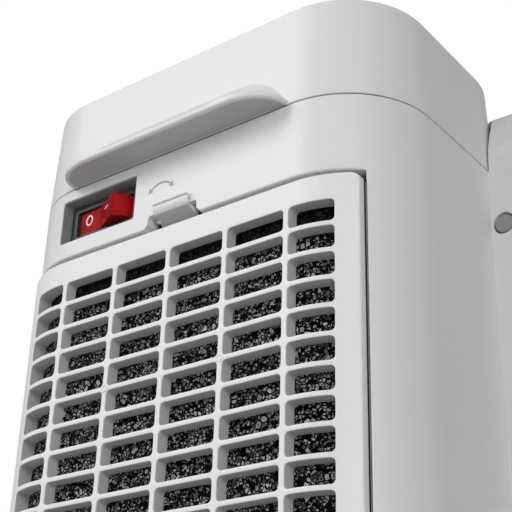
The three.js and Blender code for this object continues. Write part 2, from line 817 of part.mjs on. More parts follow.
// Rocker: a V-shaped face between two end arcs about the pivot, tilted to its off side
function switchRocker() {
  const edgeHeight = Math.sqrt(rockerEndRadius ** 2 - rockerHalfLength ** 2);
  const edgeAngle = Math.atan2(edgeHeight, rockerHalfLength);
  const face = new THREE.Shape();
  face.moveTo(0, edgeHeight - rockerValleyDepth);
  face.lineTo(-rockerHalfLength, edgeHeight);
  face.absarc(0, 0, rockerEndRadius, Math.PI - edgeAngle, Math.PI, false);
  face.lineTo(0, -rockerRootDepth);
  face.lineTo(rockerEndRadius, 0);
  face.absarc(0, 0, rockerEndRadius, 0, edgeAngle, false);
  return prism(face, rockerZ - rockerWidth / 2, rockerZ + rockerWidth / 2, 3)
    .rotateZ(THREE.MathUtils.degToRad(-rockerTilt))
    .translate(rockerPivotX, rockerPivotY, 0);
}

// Plate across the column that closes the duct, clear of the filter and its guard
function ductPlate(low) {
  const high = low + ductPlateThickness;
  const sideEnd = rearY - columnCornerRadius / 2;
  const plate = join(
    common(columnSolid(housingWall + touchGap, low, high),
      box(-columnHalf, columnHalf, ductFrontY, sideEnd, low, high)),
    common(columnSolid(guardInset, low, high), box(-columnHalf, columnHalf, 0, rearY, low, high)));
  return cut(plate, disc(2 * shaftRadius, low - cutOverrun, low + 2 * cutOverrun, fanX, fanY, 16));
}

// Volute: a wall whose distance from the fan grows steadily, then runs straight to the heater
function voluteWallSolid() {
  const path = [];
  for (let i = 0; i <= voluteSteps; i += 1) {
    const share = i / voluteSteps;
    const angle = THREE.MathUtils.degToRad(voluteStartAngle + share * voluteSweep);
    path.push([fanRadius + voluteStartGap + share * voluteGrowth, angle]);
  }
  const at = (extra) => path.map(([radius, angle]) => [
    fanX + (radius + extra) * Math.cos(angle), fanY + (radius + extra) * Math.sin(angle)]);
  const inner = at(0);
  const outer = at(voluteWall);
  const end = heaterRearY + runningGap;
  const innerEnd = [-heaterHalfWidth + voluteWall, end];
  const outerEnd = [-heaterHalfWidth, end];
  const points = [...inner, innerEnd, outerEnd, ...outer.reverse()];
  return prism(outline(points), ductFloor + touchGap, ductTop - touchGap);
}

function vortexTongue() {
  const end = heaterRearY + runningGap;
  const points = [
    [tongueInnerX, tongueRearY], [tongueInnerX, fanY - fanRadius / 2], [heaterHalfWidth - voluteWall, end],
    [heaterHalfWidth, end], [tongueInnerX + voluteWall, fanY - fanRadius / 2],
    [tongueInnerX + voluteWall, tongueRearY - voluteWall], [tongueOuterX, tongueRearY - voluteWall],
    [tongueOuterX, tongueRearY]];
  return prism(outline(points), ductFloor + touchGap, ductTop - touchGap);
}

// Cross-flow rotor: curved blades fused to discs, on a hollow hub
function fanRotor() {
  const low = ductFloor + fanEndGap;
  const high = ductTop - fanEndGap;
  const rim = fanRadius - fanBladeChord;
  const blades = [];
  for (let i = 0; i < fanBlades; i += 1) {
    const turn = (2 * Math.PI * i) / fanBlades;
    const half = fanBladeThickness / 2;
    const lean = fanBladeChord / 2;
    const shape = outline([
      [rim, -half], [fanRadius - half, lean - half], [fanRadius - half, lean + half], [rim, half]]);
    blades.push(prism(shape, low + fanDiscThickness / 2, high - fanDiscThickness / 2).rotateZ(turn));
  }
  const discs = [];
  for (let i = 0; i < fanDiscs; i += 1) {
    const z = low + ((high - low - fanDiscThickness) * i) / (fanDiscs - 1);
    discs.push(disc(fanRadius, z, z + fanDiscThickness));
  }
  const hub = disc(fanHubRadius, low, high, 0, 0, 12);
  const whole = cut(
    join(...discs, hub, mergeGeometries(blades)),
    disc(shaftRadius + touchGap, low - cutOverrun, high + cutOverrun, 0, 0, 12));
  return geometryOf(whole).translate(fanX, fanY, 0);
}

function motorTop() {
  return ductFloor - ductPlateThickness - touchGap - bracketThickness - touchGap;
}

function fanMotor() {
  const top = motorTop();
  const shoulder = motorHeight / 5;
  return turned([
    [0, top - motorHeight], [motorRadius - shoulder, top - motorHeight],
    [motorRadius, top - motorHeight + shoulder], [motorRadius, top - shoulder],
    [motorRadius - shoulder, top], [shaftRadius + runningGap, top],
    [shaftRadius + runningGap, top - motorHeight / 2], [0, top - motorHeight / 2]], 24, fanX, fanY);
}

function motorBracket() {
  const low = motorTop() + touchGap;
  const plate = box(
    fanX - bracketHalfWidth, fanX + bracketHalfWidth, fanY - motorRadius, fanY + motorRadius,
    low, low + bracketThickness);
  return cut(plate, disc(3 * shaftRadius, 0, capTopHeight, fanX, fanY, 16));
}

// Frame that holds the heating elements
function heaterFrame() {
  const low = ductFloor + touchGap;
  const high = ductTop - touchGap;
  const inner = heaterHalfWidth - heaterRail;
  return cut(
    box(-heaterHalfWidth, heaterHalfWidth, heaterRearY - heaterDepth, heaterRearY, low, high),
    box(-inner, inner, heaterRearY - heaterDepth - cutOverrun, heaterRearY + cutOverrun,
      low + heaterEndRail, high - heaterEndRail));
}

// Heating element: ceramic core with fins to both sides
function ptcElement(low, high) {
  const reach = heaterHalfWidth - heaterRail - elementGap;
  const pitch = (high - low) / (elementFins - 1 + elementFinShare);
  const right = [];
  for (let i = 0; i < elementFins; i += 1) {
    const bottom = low + i * pitch;
    const top = bottom + elementFinShare * pitch;
    right.push([elementCoreHalfWidth, bottom], [reach, bottom], [reach, top], [elementCoreHalfWidth, top]);
  }
  const left = right.map(([x, z]) => [-x, z]).reverse();
  const middle = heaterRearY - heaterDepth / 2;
  return alongY(outline([...right, ...left]), middle - elementDepth / 2, middle + elementDepth / 2);
}

function baseProfile(inset) {
  const rimTop = baseRimLift + baseRimHeight;
  const rise = baseTopHeight - rimTop;
  return [
    [baseRadius - inset, baseRimLift],
    [baseRadius - inset, rimTop],
    [baseRadius - inset - baseSlopeWidth * baseShoulderInShare, rimTop + rise * baseShoulderUpShare],
    [baseRadius - inset - baseSlopeWidth * baseBrowInShare, rimTop + rise * baseBrowUpShare - inset / 2],
    [baseFlatRadius - inset, baseTopHeight - inset]];
}

function baseCover() {
  const holeRadius = hubRadius + runningGap;
  const outer = [...baseProfile(0), [holeRadius, baseTopHeight]];
  const inner = [...baseProfile(baseWall), [holeRadius, baseCeiling]].reverse();
  const shell = turned([...outer, ...inner, outer[0]], 40);
  const hoodTop = glandHeight + glandFlangeRadius + touchGap;
  const hood = alongY(
    roundedOutline(hoodWidth / 2, basePlateTop + touchGap, hoodTop, touchGap, hoodRound),
    ballastOuterRadius + touchGap, hoodFaceY);
  const hole = barY(glandRadius + touchGap, 0, baseRadius, 0, glandHeight, 16);
  const seat = barY(glandFlangeRadius + touchGap, hoodFaceY, baseRadius + cutOverrun, 0, glandHeight, 16);
  return cut(join(shell, hood), hole, seat);
}

function basePlate() {
  const plate = disc(baseRadius - baseWall - touchGap, baseRimLift, basePlateTop, 0, 0, 40);
  return cut(plate, disc(plungerRadius + runningGap, 0, baseCeiling, tipX, tipY, 12));
}

function driveArm() {
  const low = armTop - armThickness;
  const slotHalf = crankPinRadius + crankSlotPlay;
  const far = crankY - crankRadius - crankPinRadius - runningGap;
  const slot = box(
    -slotHalf, slotHalf, far - crankSlotPlay, crankY - crankSlotPlay, low - cutOverrun, armTop + cutOverrun);
  return cut(
    join(disc(armDiscRadius, low, armTop),
      box(-armWidth / 2, armWidth / 2, -armReach, 0, low, armTop)),
    slot, disc(hubBore, 0, baseTopHeight));
}

function crank() {
  const low = basePlateTop + touchGap + oscMotorHeight + touchGap;
  const high = low + crankThickness;
  const pinY = crankY - crankRadius;
  return cut(
    join(
      disc(crankEyeRadius, low, high, 0, crankY, 16),
      disc(crankTipRadius, low, high, 0, pinY, 16),
      box(-crankTipRadius, crankTipRadius, pinY, crankY, low, high),
      disc(crankPinRadius, low, high + crankPinReach, 0, pinY, 12)),
    disc(oscShaftRadius + touchGap, 0, baseTopHeight, 0, crankY, 12));
}

function oscillationMotor() {
  const low = basePlateTop + touchGap;
  const high = low + oscMotorHeight;
  return turned([
    [0, low], [oscMotorRadius, low], [oscMotorRadius, high], [oscShaftRadius, high],
    [oscShaftRadius, high + crankThickness], [0, high + crankThickness]], 24, 0, crankY);
}

function tipSwitch() {
  const low = basePlateTop + touchGap;
  return cut(
    box(tipX - tipBodyWidth / 2, tipX + tipBodyWidth / 2, tipY - tipBodyDepth / 2, tipY + tipBodyDepth / 2,
      low, low + tipBodyHeight),
    disc(plungerRadius + touchGap, 0, plungerFloorGap + plungerLength + runningGap, tipX, tipY, 12));
}

function cableGland() {
  const face = hoodFaceY + touchGap;
  const pairs = [
    [glandBore, face - glandLength], [glandRadius, face - glandLength], [glandRadius, face],
    [glandFlangeRadius, face], [glandFlangeRadius, face + glandFlangeThickness],
    [glandBore, face + glandFlangeThickness], [glandBore, face - glandLength]];
  return turned(pairs, 16).rotateX(-Math.PI / 2).translate(0, 0, glandHeight);
}

function flangeScrew(x, z) {
  const seat = flangeY - screwRecessDepth + touchGap;
  const tip = frontY + housingWall + bossEndGap + touchGap;
  return join(
    barY(screwHeadRadius, seat, seat + screwHeadHeight, x, z),
    barY(screwShankRadius, tip, seat + screwHeadHeight / 2, x, z, 8));
}

// Base: shell, floor plate, weight, feet and the parts that swing the column
add('base_cover', baseCover(), shellWhite);
add('base_plate', basePlate(), darkGrey);
add('ballast_ring', ring(ballastInnerRadius, ballastOuterRadius, basePlateTop + touchGap,
  basePlateTop + touchGap + ballastHeight, 0, 0, 24), steel);
for (let i = 0; i < footCount; i += 1) {
  const angle = (2 * Math.PI * (i + 1 / 2)) / footCount;
  const x = (baseRadius - footInset) * Math.cos(angle);
  const y = (baseRadius - footInset) * Math.sin(angle);
  add(`rubber_foot_${i + 1}`, disc(footRadius, 0, baseRimLift - touchGap, x, y, 12), rubber);
}
add('oscillation_motor', oscillationMotor(), zinc);
add('oscillation_crank', crank(), nylon);
add('tip_switch', tipSwitch(), black);
add('tip_plunger', disc(
  plungerRadius, plungerFloorGap, plungerFloorGap + plungerLength, tipX, tipY, 12), nylon);
add('cable_gland', cableGland(), black);
add('slide_ring', ring(
  slideOuterRadius - slideWidth, slideOuterRadius, baseTopHeight + touchGap, slideTop, 0, 0, 24), nylon);
add('turntable', turned([
  [hubBore, hubBottom], [hubRadius, hubBottom], [hubRadius, slideTop + touchGap],
  [turntableRadius, slideTop + touchGap], [turntableRadius, turntableTop], [hubBore, turntableTop],
  [hubBore, hubBottom]], 24), darkGrey);
add('drive_arm', driveArm(), zinc);

// Column shells
add('rear_housing', rearHousing(), shellWhite);
add('front_panel', frontPanel(), shellWhite);
add('outlet_grille', outletGrille(), darkGrey);
add('top_cap', topCap(), shellWhite);
screwPlaces().forEach(([x, z], i) => add(`flange_screw_${i + 1}`, flangeScrew(x, z), steel));

// Controls
add('control_panel', controlPanel(), darkGrey);
add('thermostat_knob', knob(knobSpacing / 2), shellWhite);
add('mode_knob', knob(-knobSpacing / 2), shellWhite);
add('thermostat', controlBody(knobSpacing / 2), zinc);
add('mode_switch', controlBody(-knobSpacing / 2), black);
add('pilot_lens', disc(lensRadius, panelFloor - lensHeight / 2 + touchGap,
  panelFloor + lensHeight / 2 + touchGap, 0, knobY, 16), redLens);
add('switch_body', switchBody(), black);
add('switch_rocker', switchRocker(), redLens);

// Intake at the back
add('filter_cover', filterCover(), coverWhite);
add('filter_foam', rearBand(foamInset, foamInset + foamThickness, grilleHalfWidth + foamSideReach,
  coverBottom + coverFooter - foamHeaderReach, gridTop + foamHeaderReach), black);
add('cover_latch', coverLatch(), coverWhite);
add('latch_pin', barX(latchPinRadius, -latchArmWidth / 2 - runningGap - latchEarThickness,
  latchArmWidth / 2 + runningGap + latchEarThickness, latchPinY(), latchPinZ()), steel);
add('intake_guard', intakeGuard(), black);

// Air path inside the column
add('duct_top', ductPlate(ductTop), darkGrey);
add('duct_floor', ductPlate(ductFloor - ductPlateThickness), darkGrey);
add('volute_wall', voluteWallSolid(), darkGrey);
add('vortex_tongue', vortexTongue(), darkGrey);
add('fan_rotor', fanRotor(), black);
add('fan_shaft', disc(shaftRadius, motorTop() - motorHeight / 2 + runningGap,
  ductTop + ductPlateThickness + touchGap + bushHeight, fanX, fanY, 12), steel);
add('top_bush', ring(shaftRadius + touchGap, bushRadius, ductTop + ductPlateThickness + touchGap,
  ductTop + ductPlateThickness + touchGap + bushHeight, fanX, fanY, 16), brass);
add('fan_motor', fanMotor(), zinc);
add('motor_bracket', motorBracket(), steel);

// Heater
const elementLow = ductFloor + touchGap + heaterEndRail + elementGap;
const elementHigh = ductTop - touchGap - heaterEndRail - elementGap;
const elementMiddle = (elementLow + elementHigh) / 2;
add('heater_frame', heaterFrame(), mica);
add('ptc_element_1', ptcElement(elementLow, elementMiddle - elementGap), aluminium);
add('ptc_element_2', ptcElement(elementMiddle + elementGap, elementHigh), aluminium);
const railX = heaterHalfWidth - heaterRail / 2;
const railY = heaterRearY - heaterDepth - touchGap;
add('thermal_cutout', barY(
  cutoutRadius, railY - cutoutHeight, railY, railX, elementHigh - 3 * cutoutRadius), brass);
add('thermal_fuse', box(railX - fuseRadius, railX + fuseRadius, railY - 2 * fuseRadius, railY,
  elementMiddle - fuseLength / 2, elementMiddle + fuseLength / 2), steel);
add('terminal_block', box(terminalX - terminalWidth / 2, terminalX + terminalWidth / 2,
  fanY - terminalDepth / 2, fanY + terminalDepth / 2,
  floorTop + touchGap, floorTop + touchGap + terminalHeight), nylon);

export default heater;
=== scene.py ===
"""Ceramic tower heater: shells, grille cover, foam, rocker, latch, outlet and base round the CAD frame.

Lengths are millimetres in the source's own frame: +Z up, the outlet towards -Y, the filter cover towards +Y.
"""
import math

import bmesh
import bpy
import numpy as np
from mathutils import Matrix, Vector


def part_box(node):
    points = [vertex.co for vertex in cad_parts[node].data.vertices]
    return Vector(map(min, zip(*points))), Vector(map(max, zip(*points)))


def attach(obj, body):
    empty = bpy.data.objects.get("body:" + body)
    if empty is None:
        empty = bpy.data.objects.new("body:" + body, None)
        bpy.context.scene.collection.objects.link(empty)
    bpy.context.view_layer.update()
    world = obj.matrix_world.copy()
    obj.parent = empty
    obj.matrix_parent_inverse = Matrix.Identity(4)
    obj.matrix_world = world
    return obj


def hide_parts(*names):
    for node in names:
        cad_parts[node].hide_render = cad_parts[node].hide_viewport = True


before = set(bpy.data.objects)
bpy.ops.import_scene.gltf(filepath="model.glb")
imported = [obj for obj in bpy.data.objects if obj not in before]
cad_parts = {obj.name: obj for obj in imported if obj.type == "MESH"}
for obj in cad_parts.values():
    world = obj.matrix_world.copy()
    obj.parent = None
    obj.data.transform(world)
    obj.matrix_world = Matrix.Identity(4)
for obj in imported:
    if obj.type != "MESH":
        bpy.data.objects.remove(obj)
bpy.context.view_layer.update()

MM = 0.001

# Radius at which a turned surface is closed, and how far ink lies under and over the face it is printed on
POLE, INK_UNDER, INK_OVER = 0.01, 0.05, 0.06

# Column and cap
COLUMN_HALF, COLUMN_RADIUS = 95.3, 38.1
REAR_Y = 61.0
COLUMN_FOOT, SEAM_Z, SEAM_GAP, CAP_TOP = 44.0, 574.3, 0.5, 620.0
CAP_DRAFT = 1.8
WALL = 2.5

# Wide front part
FLANGE_Y, PARTING_Y, FRONT_Y = -25.0, -48.0, -70.0
FRONT_HALF, FRONT_TOP = 112.0, 618.0
FRONT_TOP_RADIUS, FLANGE_RADIUS, FRONT_RADIUS = 42.0, 6.0, 14.0
SCREW_X, SCREW_ROWS = 100.4, (548.7, 329.85, 111.0)
RECESS_RADIUS, RECESS_DEPTH, PLUG_RADIUS = 4.6, 8.0, 4.0

# Foam sheet behind the cover
FOAM_INSET, FOAM_THICK, FOAM_HALF, FOAM_SPAN = 4.7, 5.0, 76.0, (192.97, 530.7)
# Painted shade: the foam's colour darkens between the first two heights, under the cover's top edge; the last
# is the warp of its cells
FOAM_PAINTED_SHADE_LOW, FOAM_PAINTED_SHADE_HIGH, FOAM_WARP = 518.5, 520.5, 0.6

# Filter cover
COVER_HALF, COVER_TOP, COVER_BOTTOM = 82.5, 539.6, 184.07
COVER_PROUD, COVER_SIDE_PROUD, COVER_THICK = 0.6, 1.7, 5.6
SLOT_ROWS, SLOT_PITCH, SLOT_HEIGHT, GRID_TOP = 32, 10.52, 8.61, 529.2
SLOT_COLUMN, SLOT_BAR, GRILLE_HALF = 28.0, 2.24, 74.73
OPENING_HALF, OPENING_TOP, OPENING_BOTTOM = 83.2, 541.7, 182.37
NOTCH_HALF, NOTCH_TOP = 12.5, 547.3
RETURN_DEPTH, OPENING_ROUND = 7.0, 0.9
LATCH_HALF, LATCH_TOP = 9.0, 551.3

# Handle and switch
HANDLE_X, HANDLE_HALF, HANDLE_REACH, HANDLE_CORNER = 1.2, 57.0, 14.7, (20.0, 14.2)
HANDLE_EDGE, HANDLE_LIP, HANDLE_RISE, HANDLE_TOP_HALF, HANDLE_END_SPAN = 1.2, 2.7, 15.7, 31.0, 44.0
HANDLE_RIM, HANDLE_HOLLOW = 1.9, 0.5
SWITCH_LEFT, SWITCH_RIGHT, SWITCH_TOP, SWITCH_BOTTOM = 63.3, 20.8, 569.6, 549.3
SWITCH_DEPTH = 7.0
ROCKER_X, ROCKER_Y, ROCKER_Z = 43.1, 49.65, 559.45
ROCKER_TILT = math.radians(-16)
ROCKER_SLOPE, ROCKER_EDGE, ROCKER_VALLEY, ROCKER_BEND = 12.0, 9.0, 2.3, 2.2

# Controls
PANEL_HALF, PANEL_FRONT, PANEL_REAR, PANEL_Z = 80.0, -46.0, 14.0, 618.0
KNOB_X, KNOB_Y, KNOB_Z = 38.0, -16.0, 620.3
KNOB_RADIUS, KNOB_SKIRT, KNOB_TOP, KNOB_GRIP_HALF = 19.0, 4.0, 633.3, 4.5
KNOB_GRIP_REACH, STEM_RADIUS, STEM_FOOT, FLUTES = 17.1, 3.0, 605.3, 36
PLATE_LOW, PLATE_HIGH, LENS_RADIUS, LENS_FOOT = 618.3, 619.7, 3.4, 616.3
SCALE_RADIUS, SCALE_WIDTH, SYMBOL_RADIUS = 21.6, 2.6, 27.0

# Outlet
OUTLET_HALF, OUTLET_LOW, OUTLET_HIGH, OUTLET_RADIUS = 62.0, 160.0, 548.0, 10.0
GRILLE_FACE, GRILLE_BACK, GRILLE_FIT = -69.0, -60.0, 0.3
GRILLE_FRAME, GRILLE_SPINE, GRILLE_ROWS, GRILLE_BAR_SHARE = 7.0, 5.0, 27, 0.3
GRILLE_LIP, LIP_FRONT, LIP_BACK = 4.0, -67.2, -65.0

# Heating elements
ELEMENT_HALF, ELEMENT_FRONT, ELEMENT_BACK = 49.6, -43.0, -32.0
ELEMENT_SPANS = {"ptc_element_1": (192.77, 354.38), "ptc_element_2": (355.19, 516.8)}
ELEMENT_STRIP, FIN_PITCH, FIN_SHEET = 2.4, 2.6, 0.25

# Base
BASE_RADIUS, BASE_TOP, BASE_RIM, BASE_FLAT, BASE_WALL = 125.0, 36.0, 3.5, 86.0, 2.5
BASE_SHOULDER = 8.5
HUB_RADIUS = 22.6
GLAND_Z, HOOD_HALF, HOOD_FACE = 14.4, 11.0, 122.0
FOOT_RADIUS, FOOT_HEIGHT = 10.0, 3.2

# Camera, from the fitted view: degrees and millimetres
CAMERA_YAW, CAMERA_PITCH, CAMERA_ROLL = 37.886, 26.855, 1.674
CAMERA_PLACE, CAMERA_LENS, CAMERA_SENSOR = (-276.31, 361.18, 321.47), 83.0, 36.0

# Lights: name, place and target in metres, width and height in metres, watts
LIGHTS = (
    ("key", (1.1, 1.75, 1.85), (0, 0, 0.5), (1.1, 1.1), 24.3),
    ("fill", (-1.8, 1.93, 0.9), (0, 0, 0.5), (0.8, 1.2), 32.5),
    ("left", (2.2, 0.9, 0.8), (0, 0, 0.5), (0.8, 1.2), 10),
    ("front", (0.5, -2.4, 1.4), (0, 0, 0.4), (1.2, 1.2), 19),
)
FLOOR_HALF = 3000.0


# Materials
def linear(code):
    """Linear colour from an sRGB hex value."""
    srgb = np.array([int(code[i:i + 2], 16) for i in (0, 2, 4)]) / 255.0
    low = srgb / 12.92
    high = ((srgb + 0.055) / 1.055) ** 2.4
    return (*np.where(srgb <= 0.04045, low, high), 1.0)


def node(tree, kind, links=(), **settings):
    """One shader node with its settings and the links into it, each (socket, other node, other socket)."""
    made = tree.nodes.new(kind)
    for name, value in settings.items():
        if hasattr(made, name):
            setattr(made, name, value)
        else:
            made.inputs[name.replace("_", " ")].default_value = value
    for socket, other, output in links:
        tree.links.new(other.outputs[output], made.inputs[socket])
    return made


def finish(name, colour, **settings):
    """Material with one Principled shader, its tree and Object coordinates."""
    material = bpy.data.materials.new(name)
    material.use_nodes = True
    tree = material.node_tree
    shader = tree.nodes["Principled BSDF"]
    shader.inputs["Base Color"].default_value = linear(colour)
    for socket, value in settings.items():
        shader.inputs[socket.replace("_", " ")].default_value = value
    coords = node(tree, "ShaderNodeTexCoord")
    return material, tree, shader, coords


def ramp(tree, source, output, stops):
    """Colour ramp over a value, from (position, colour) stops."""
    made = node(tree, "ShaderNodeValToRGB", [("Fac", source, output)])
    elements = made.color_ramp.elements
    while len(elements) < len(stops):
        elements.new(0.5)
    for element, (position, colour) in zip(elements, stops):
        element.position = position
        element.color = colour
    return made


def grey(value):
    """Linear colour with the same value in each channel."""
    return (value, value, value, 1.0)


def noise(tree, place, output, size, detail):
    """Noise whose features are a size in millimetres."""
    return node(tree, "ShaderNodeTexNoise", [("Vector", place, output)], Scale=1 / (size * MM), Detail=detail)


def relief(tree, shader, source, output, height, strength):
    """Bump of a height in millimetres, into the shader's normal."""
    bump = node(tree, "ShaderNodeBump", [("Height", source, output)], Strength=strength, Distance=height * MM)
    tree.links.new(bump.outputs["Normal"], shader.inputs["Normal"])


def tinted(tree, shader, source, output, socket, stops):
    """Colour ramp over a value, into one of the shader's sockets."""
    made = ramp(tree, source, output, stops)
    tree.links.new(made.outputs["Color"], shader.inputs[socket])


def moulded(name, light, dark, roughness, grain, grain_height, specular=0.5):
    """Injection-moulded plastic: faint drift of tone over 60 mm and a spark-eroded grain of a given width."""
    material, tree, shader, coords = finish(name, light, Roughness=roughness, IOR=1.53)
    shader.inputs["Specular IOR Level"].default_value = specular
    drift = noise(tree, coords, "Object", 60, 3.0)
    tinted(tree, shader, drift, "Fac", "Base Color", [(0.3, linear(dark)), (0.7, linear(light))])
    texture = noise(tree, coords, "Object", grain, 4.0)
    spread = [(0.3, grey(roughness - 0.05)), (0.7, grey(roughness + 0.05))]
    tinted(tree, shader, texture, "Fac", "Roughness", spread)
    relief(tree, shader, texture, "Fac", grain_height, 0.25)
    return material


def foam_cells(tree, place, size, low):
    """Painted highlights of one size of foam cell, light grey patches between black struts, and the
    brightness each
    cell has: none for the share below low.
    """
    links, scale = [("Vector", place, "Vector")], 1 / (size * MM)
    edge = node(tree, "ShaderNodeTexVoronoi", links, Scale=scale, feature="DISTANCE_TO_EDGE")
    cell = node(tree, "ShaderNodeTexVoronoi", links, Scale=scale)
    glint_patches = ramp(tree, edge, "Distance", [(0.1, grey(0.0)), (0.2, grey(1.0)), (0.42, grey(0.62))])
    split = node(tree, "ShaderNodeSeparateColor", [("Color", cell, "Color")])
    bright = ramp(tree, split, "Red", [(low, grey(0.0)), (low + 0.02, grey(0.42)), (1.0, grey(1.0))])
    lit = node(tree, "ShaderNodeMath", [(0, glint_patches, "Color"), (1, bright, "Color")], operation="MULTIPLY")
    return lit, bright


def reticulated_foam():
    """Open-cell polyurethane foam, black: scattered 2.2 mm cells among 1.25 mm ones get light grey patches
    between
    black struts, painted highlights of light caught by the cells. The strip under the cover's top edge is
    darker:
    painted shade."""
    material, tree, shader, coords = finish("open_cell_foam", "060606", Roughness=0.7, IOR=1.4)
    shader.inputs["Specular IOR Level"].default_value = 0.08
    warp = node(tree, "ShaderNodeTexNoise", [("Vector", coords, "Object")], Scale=900.0, Detail=2.0)
    place = node(tree, "ShaderNodeVectorMath", [(0, warp, "Color"), (2, coords, "Object")],
                 operation="MULTIPLY_ADD")
    place.inputs[1].default_value = (FOAM_WARP * MM, FOAM_WARP * MM, FOAM_WARP * MM)
    wide, bright = foam_cells(tree, place, 2.2, 0.72)
    fine, _ = foam_cells(tree, place, 1.25, 0.16)
    gaps = node(tree, "ShaderNodeMath", [(0, bright, "Color")], operation="LESS_THAN")
    gaps.inputs[1].default_value = 0.05
    between = node(tree, "ShaderNodeMath", [(0, fine, "Value"), (1, gaps, "Value")], operation="MULTIPLY")
    lit = node(tree, "ShaderNodeMath", [(0, wide, "Value"), (1, between, "Value")], operation="MAXIMUM")
    # Painted shade: the colour falls to 0.28 above the upper height, where the cover's top edge shades the
    # foam
    height = node(tree, "ShaderNodeSeparateXYZ", [("Vector", coords, "Object")])
    painted_shade = ramp(tree, height, "Z", [(FOAM_PAINTED_SHADE_LOW * MM, grey(1.0)), (FOAM_PAINTED_SHADE_HIGH * MM, grey(0.28))])
    dimmed = node(tree, "ShaderNodeMath", [(0, lit, "Value"), (1, painted_shade, "Color")], operation="MULTIPLY")
    # Painted highlights: the cell patches run up to light grey in the base colour
    tones = [(0.0, linear("010101")), (0.35, linear("343434")), (1.0, linear("cccccc"))]
    tinted(tree, shader, dimmed, "Value", "Base Color", tones)
    relief(tree, shader, lit, "Value", 0.3, 0.6)
    return material


def rocker_plastic():
    """Tinted clear polycarbonate: polished, deep red, with a faint cloud of tone over 9 mm."""
    material, tree, shader, coords = finish("red_polycarbonate", "9c060d", Roughness=0.14, IOR=1.45)
    shader.inputs["Specular IOR Level"].default_value = 0.35
    cloud = noise(tree, coords, "Object", 9, 2.0)
    tinted(tree, shader, cloud, "Fac", "Base Color", [(0.35, linear("8a040a")), (0.65, linear("ad0810"))])
    return material


def plated(name, light, dark, roughness, brush=0.35):
    """Plated or rolled metal: fine lines drawn along X with a faint change of tone."""
    material, tree, shader, coords = finish(name, light, Metallic=1.0, Roughness=roughness)
    place = node(tree, "ShaderNodeMapping", [("Vector", coords, "Object")])
    place.inputs["Scale"].default_value = (0.05, 1.0, 1.0)
    lines = noise(tree, place, "Vector", brush, 3.0)
    tinted(tree, shader, lines, "Fac", "Base Color", [(0.3, linear(dark)), (0.7, linear(light))])
    spread = [(0.3, grey(roughness - 0.06)), (0.7, grey(roughness + 0.08))]
    tinted(tree, shader, lines, "Fac", "Roughness", spread)
    relief(tree, shader, lines, "Fac", 0.03, 0.15)
    return material


# White ABS, polished mould: satin, so broad soft reflections roll round the corners
SHELL_WHITE = moulded("satin_white_abs", "d8d8d8", "d5d5d6", 0.42, 0.9, 0.012)
# White ABS of the dials: a little glossier and cooler than the shells
KNOB_WHITE = moulded("gloss_white_abs", "e6e7e8", "e2e3e4", 0.2, 1.2, 0.01)
# White ABS, fine spark grain: flatter than the shells, no clear reflection
COVER_WHITE = moulded("fine_grain_white_abs", "dfdfe0", "dcdcdd", 0.48, 0.6, 0.02)
# The same white ABS, greyer and rougher, as painted shade where shade falls: slot walls and undersides
PAINTED_SHADE_WHITE = moulded("painted_shade_white_abs", "b8b8b9", "b3b3b4", 0.6, 0.5, 0.03)
# Dark grey ABS, medium spark grain: dull, slightly blue
DARK_PLASTIC = moulded("dark_grey_abs", "46494c", "3f4245", 0.55, 0.7, 0.05)
# Black nylon, as moulded: dull with a soft highlight
BLACK_PLASTIC = moulded("black_nylon", "1f2022", "191a1b", 0.5, 0.8, 0.05)
# Nylon bezel of the switch: dark grey, a little green, dull, and darker still as painted shade in the recess
BEZEL_PLASTIC = moulded("dark_grey_nylon_bezel", "333837", "2d3231", 0.5, 0.6, 0.03)
# Mid grey nylon, dull: the liner round the switch, painted shade on the recess's walls; the screw plugs take
# the same grey, darker than the shell
SHADE_AND_PLUG_GREY = moulded("painted_shade_and_plug_grey_nylon", "8c8f8f", "868989", 0.55, 0.6, 0.02)
# Natural nylon: cream, waxy
NYLON = moulded("natural_nylon", "e2dbc8", "d9d1bc", 0.45, 0.8, 0.02)
# Black synthetic rubber: matt, fine texture
RUBBER = moulded("black_rubber", "1b1b1b", "141414", 0.85, 0.7, 0.08, 0.3)
# Ink of the printed marks: mid grey, flat
GREY_INK = moulded("grey_pad_print_ink", "9a9a9b", "949495", 0.6, 0.5, 0.01)
# Ink of the marks on the rocker and the dials: white, flat
WHITE_INK = moulded("white_pad_print_ink", "f2f2f2", "ececec", 0.5, 0.5, 0.01)
# Mica board: golden grey, layered flakes
MICA = moulded("mica_board", "b3a587", "8f8163", 0.6, 3.0, 0.1)
FOAM = reticulated_foam()
ROCKER_RED = rocker_plastic()
# Zinc-plated steel: bright grey with a faint drawn grain
STEEL = plated("zinc_plated_steel", "c3c6c9", "a9acb0", 0.32)
ZINC = plated("galvanised_sheet", "b9bdc1", "9fa4a9", 0.42, 1.2)
ALUMINIUM = plated("rolled_aluminium_fin", "d2d4d6", "b7babd", 0.35, 0.5)
BRASS = plated("turned_brass", "c9a25a", "a9833f", 0.3)


# Shapes
def rounded_rectangle(low_x, high_x, low_y, high_y, low_radius, high_radius, steps=16, straight=1):
    """Points of a rectangle with quarter-circle corners, anticlockwise from the low-x, low-y corner."""
    corners = [(low_x, low_y, low_radius, 180), (high_x, low_y, low_radius, 270),
               (high_x, high_y, high_radius, 0), (low_x, high_y, high_radius, 90)]
    parts = []
    for x, y, radius, start in corners:
        angle = np.radians(start + np.linspace(0, 90, steps + 1))
        centre_x = x + radius * (1 if x == low_x else -1)
        centre_y = y + radius * (1 if y == low_y else -1)
        parts.append(np.c_[centre_x + radius * np.cos(angle), centre_y + radius * np.sin(angle)])
    if straight > 1:
        between = []
        for part, after in zip(parts, parts[1:] + parts[:1]):
            share = np.linspace(0, 1, straight + 1)[1:-1, None]
            between.append(np.vstack([part, part[-1] + share * (after[0] - part[-1])]))
        parts = between
    return np.vstack(parts)


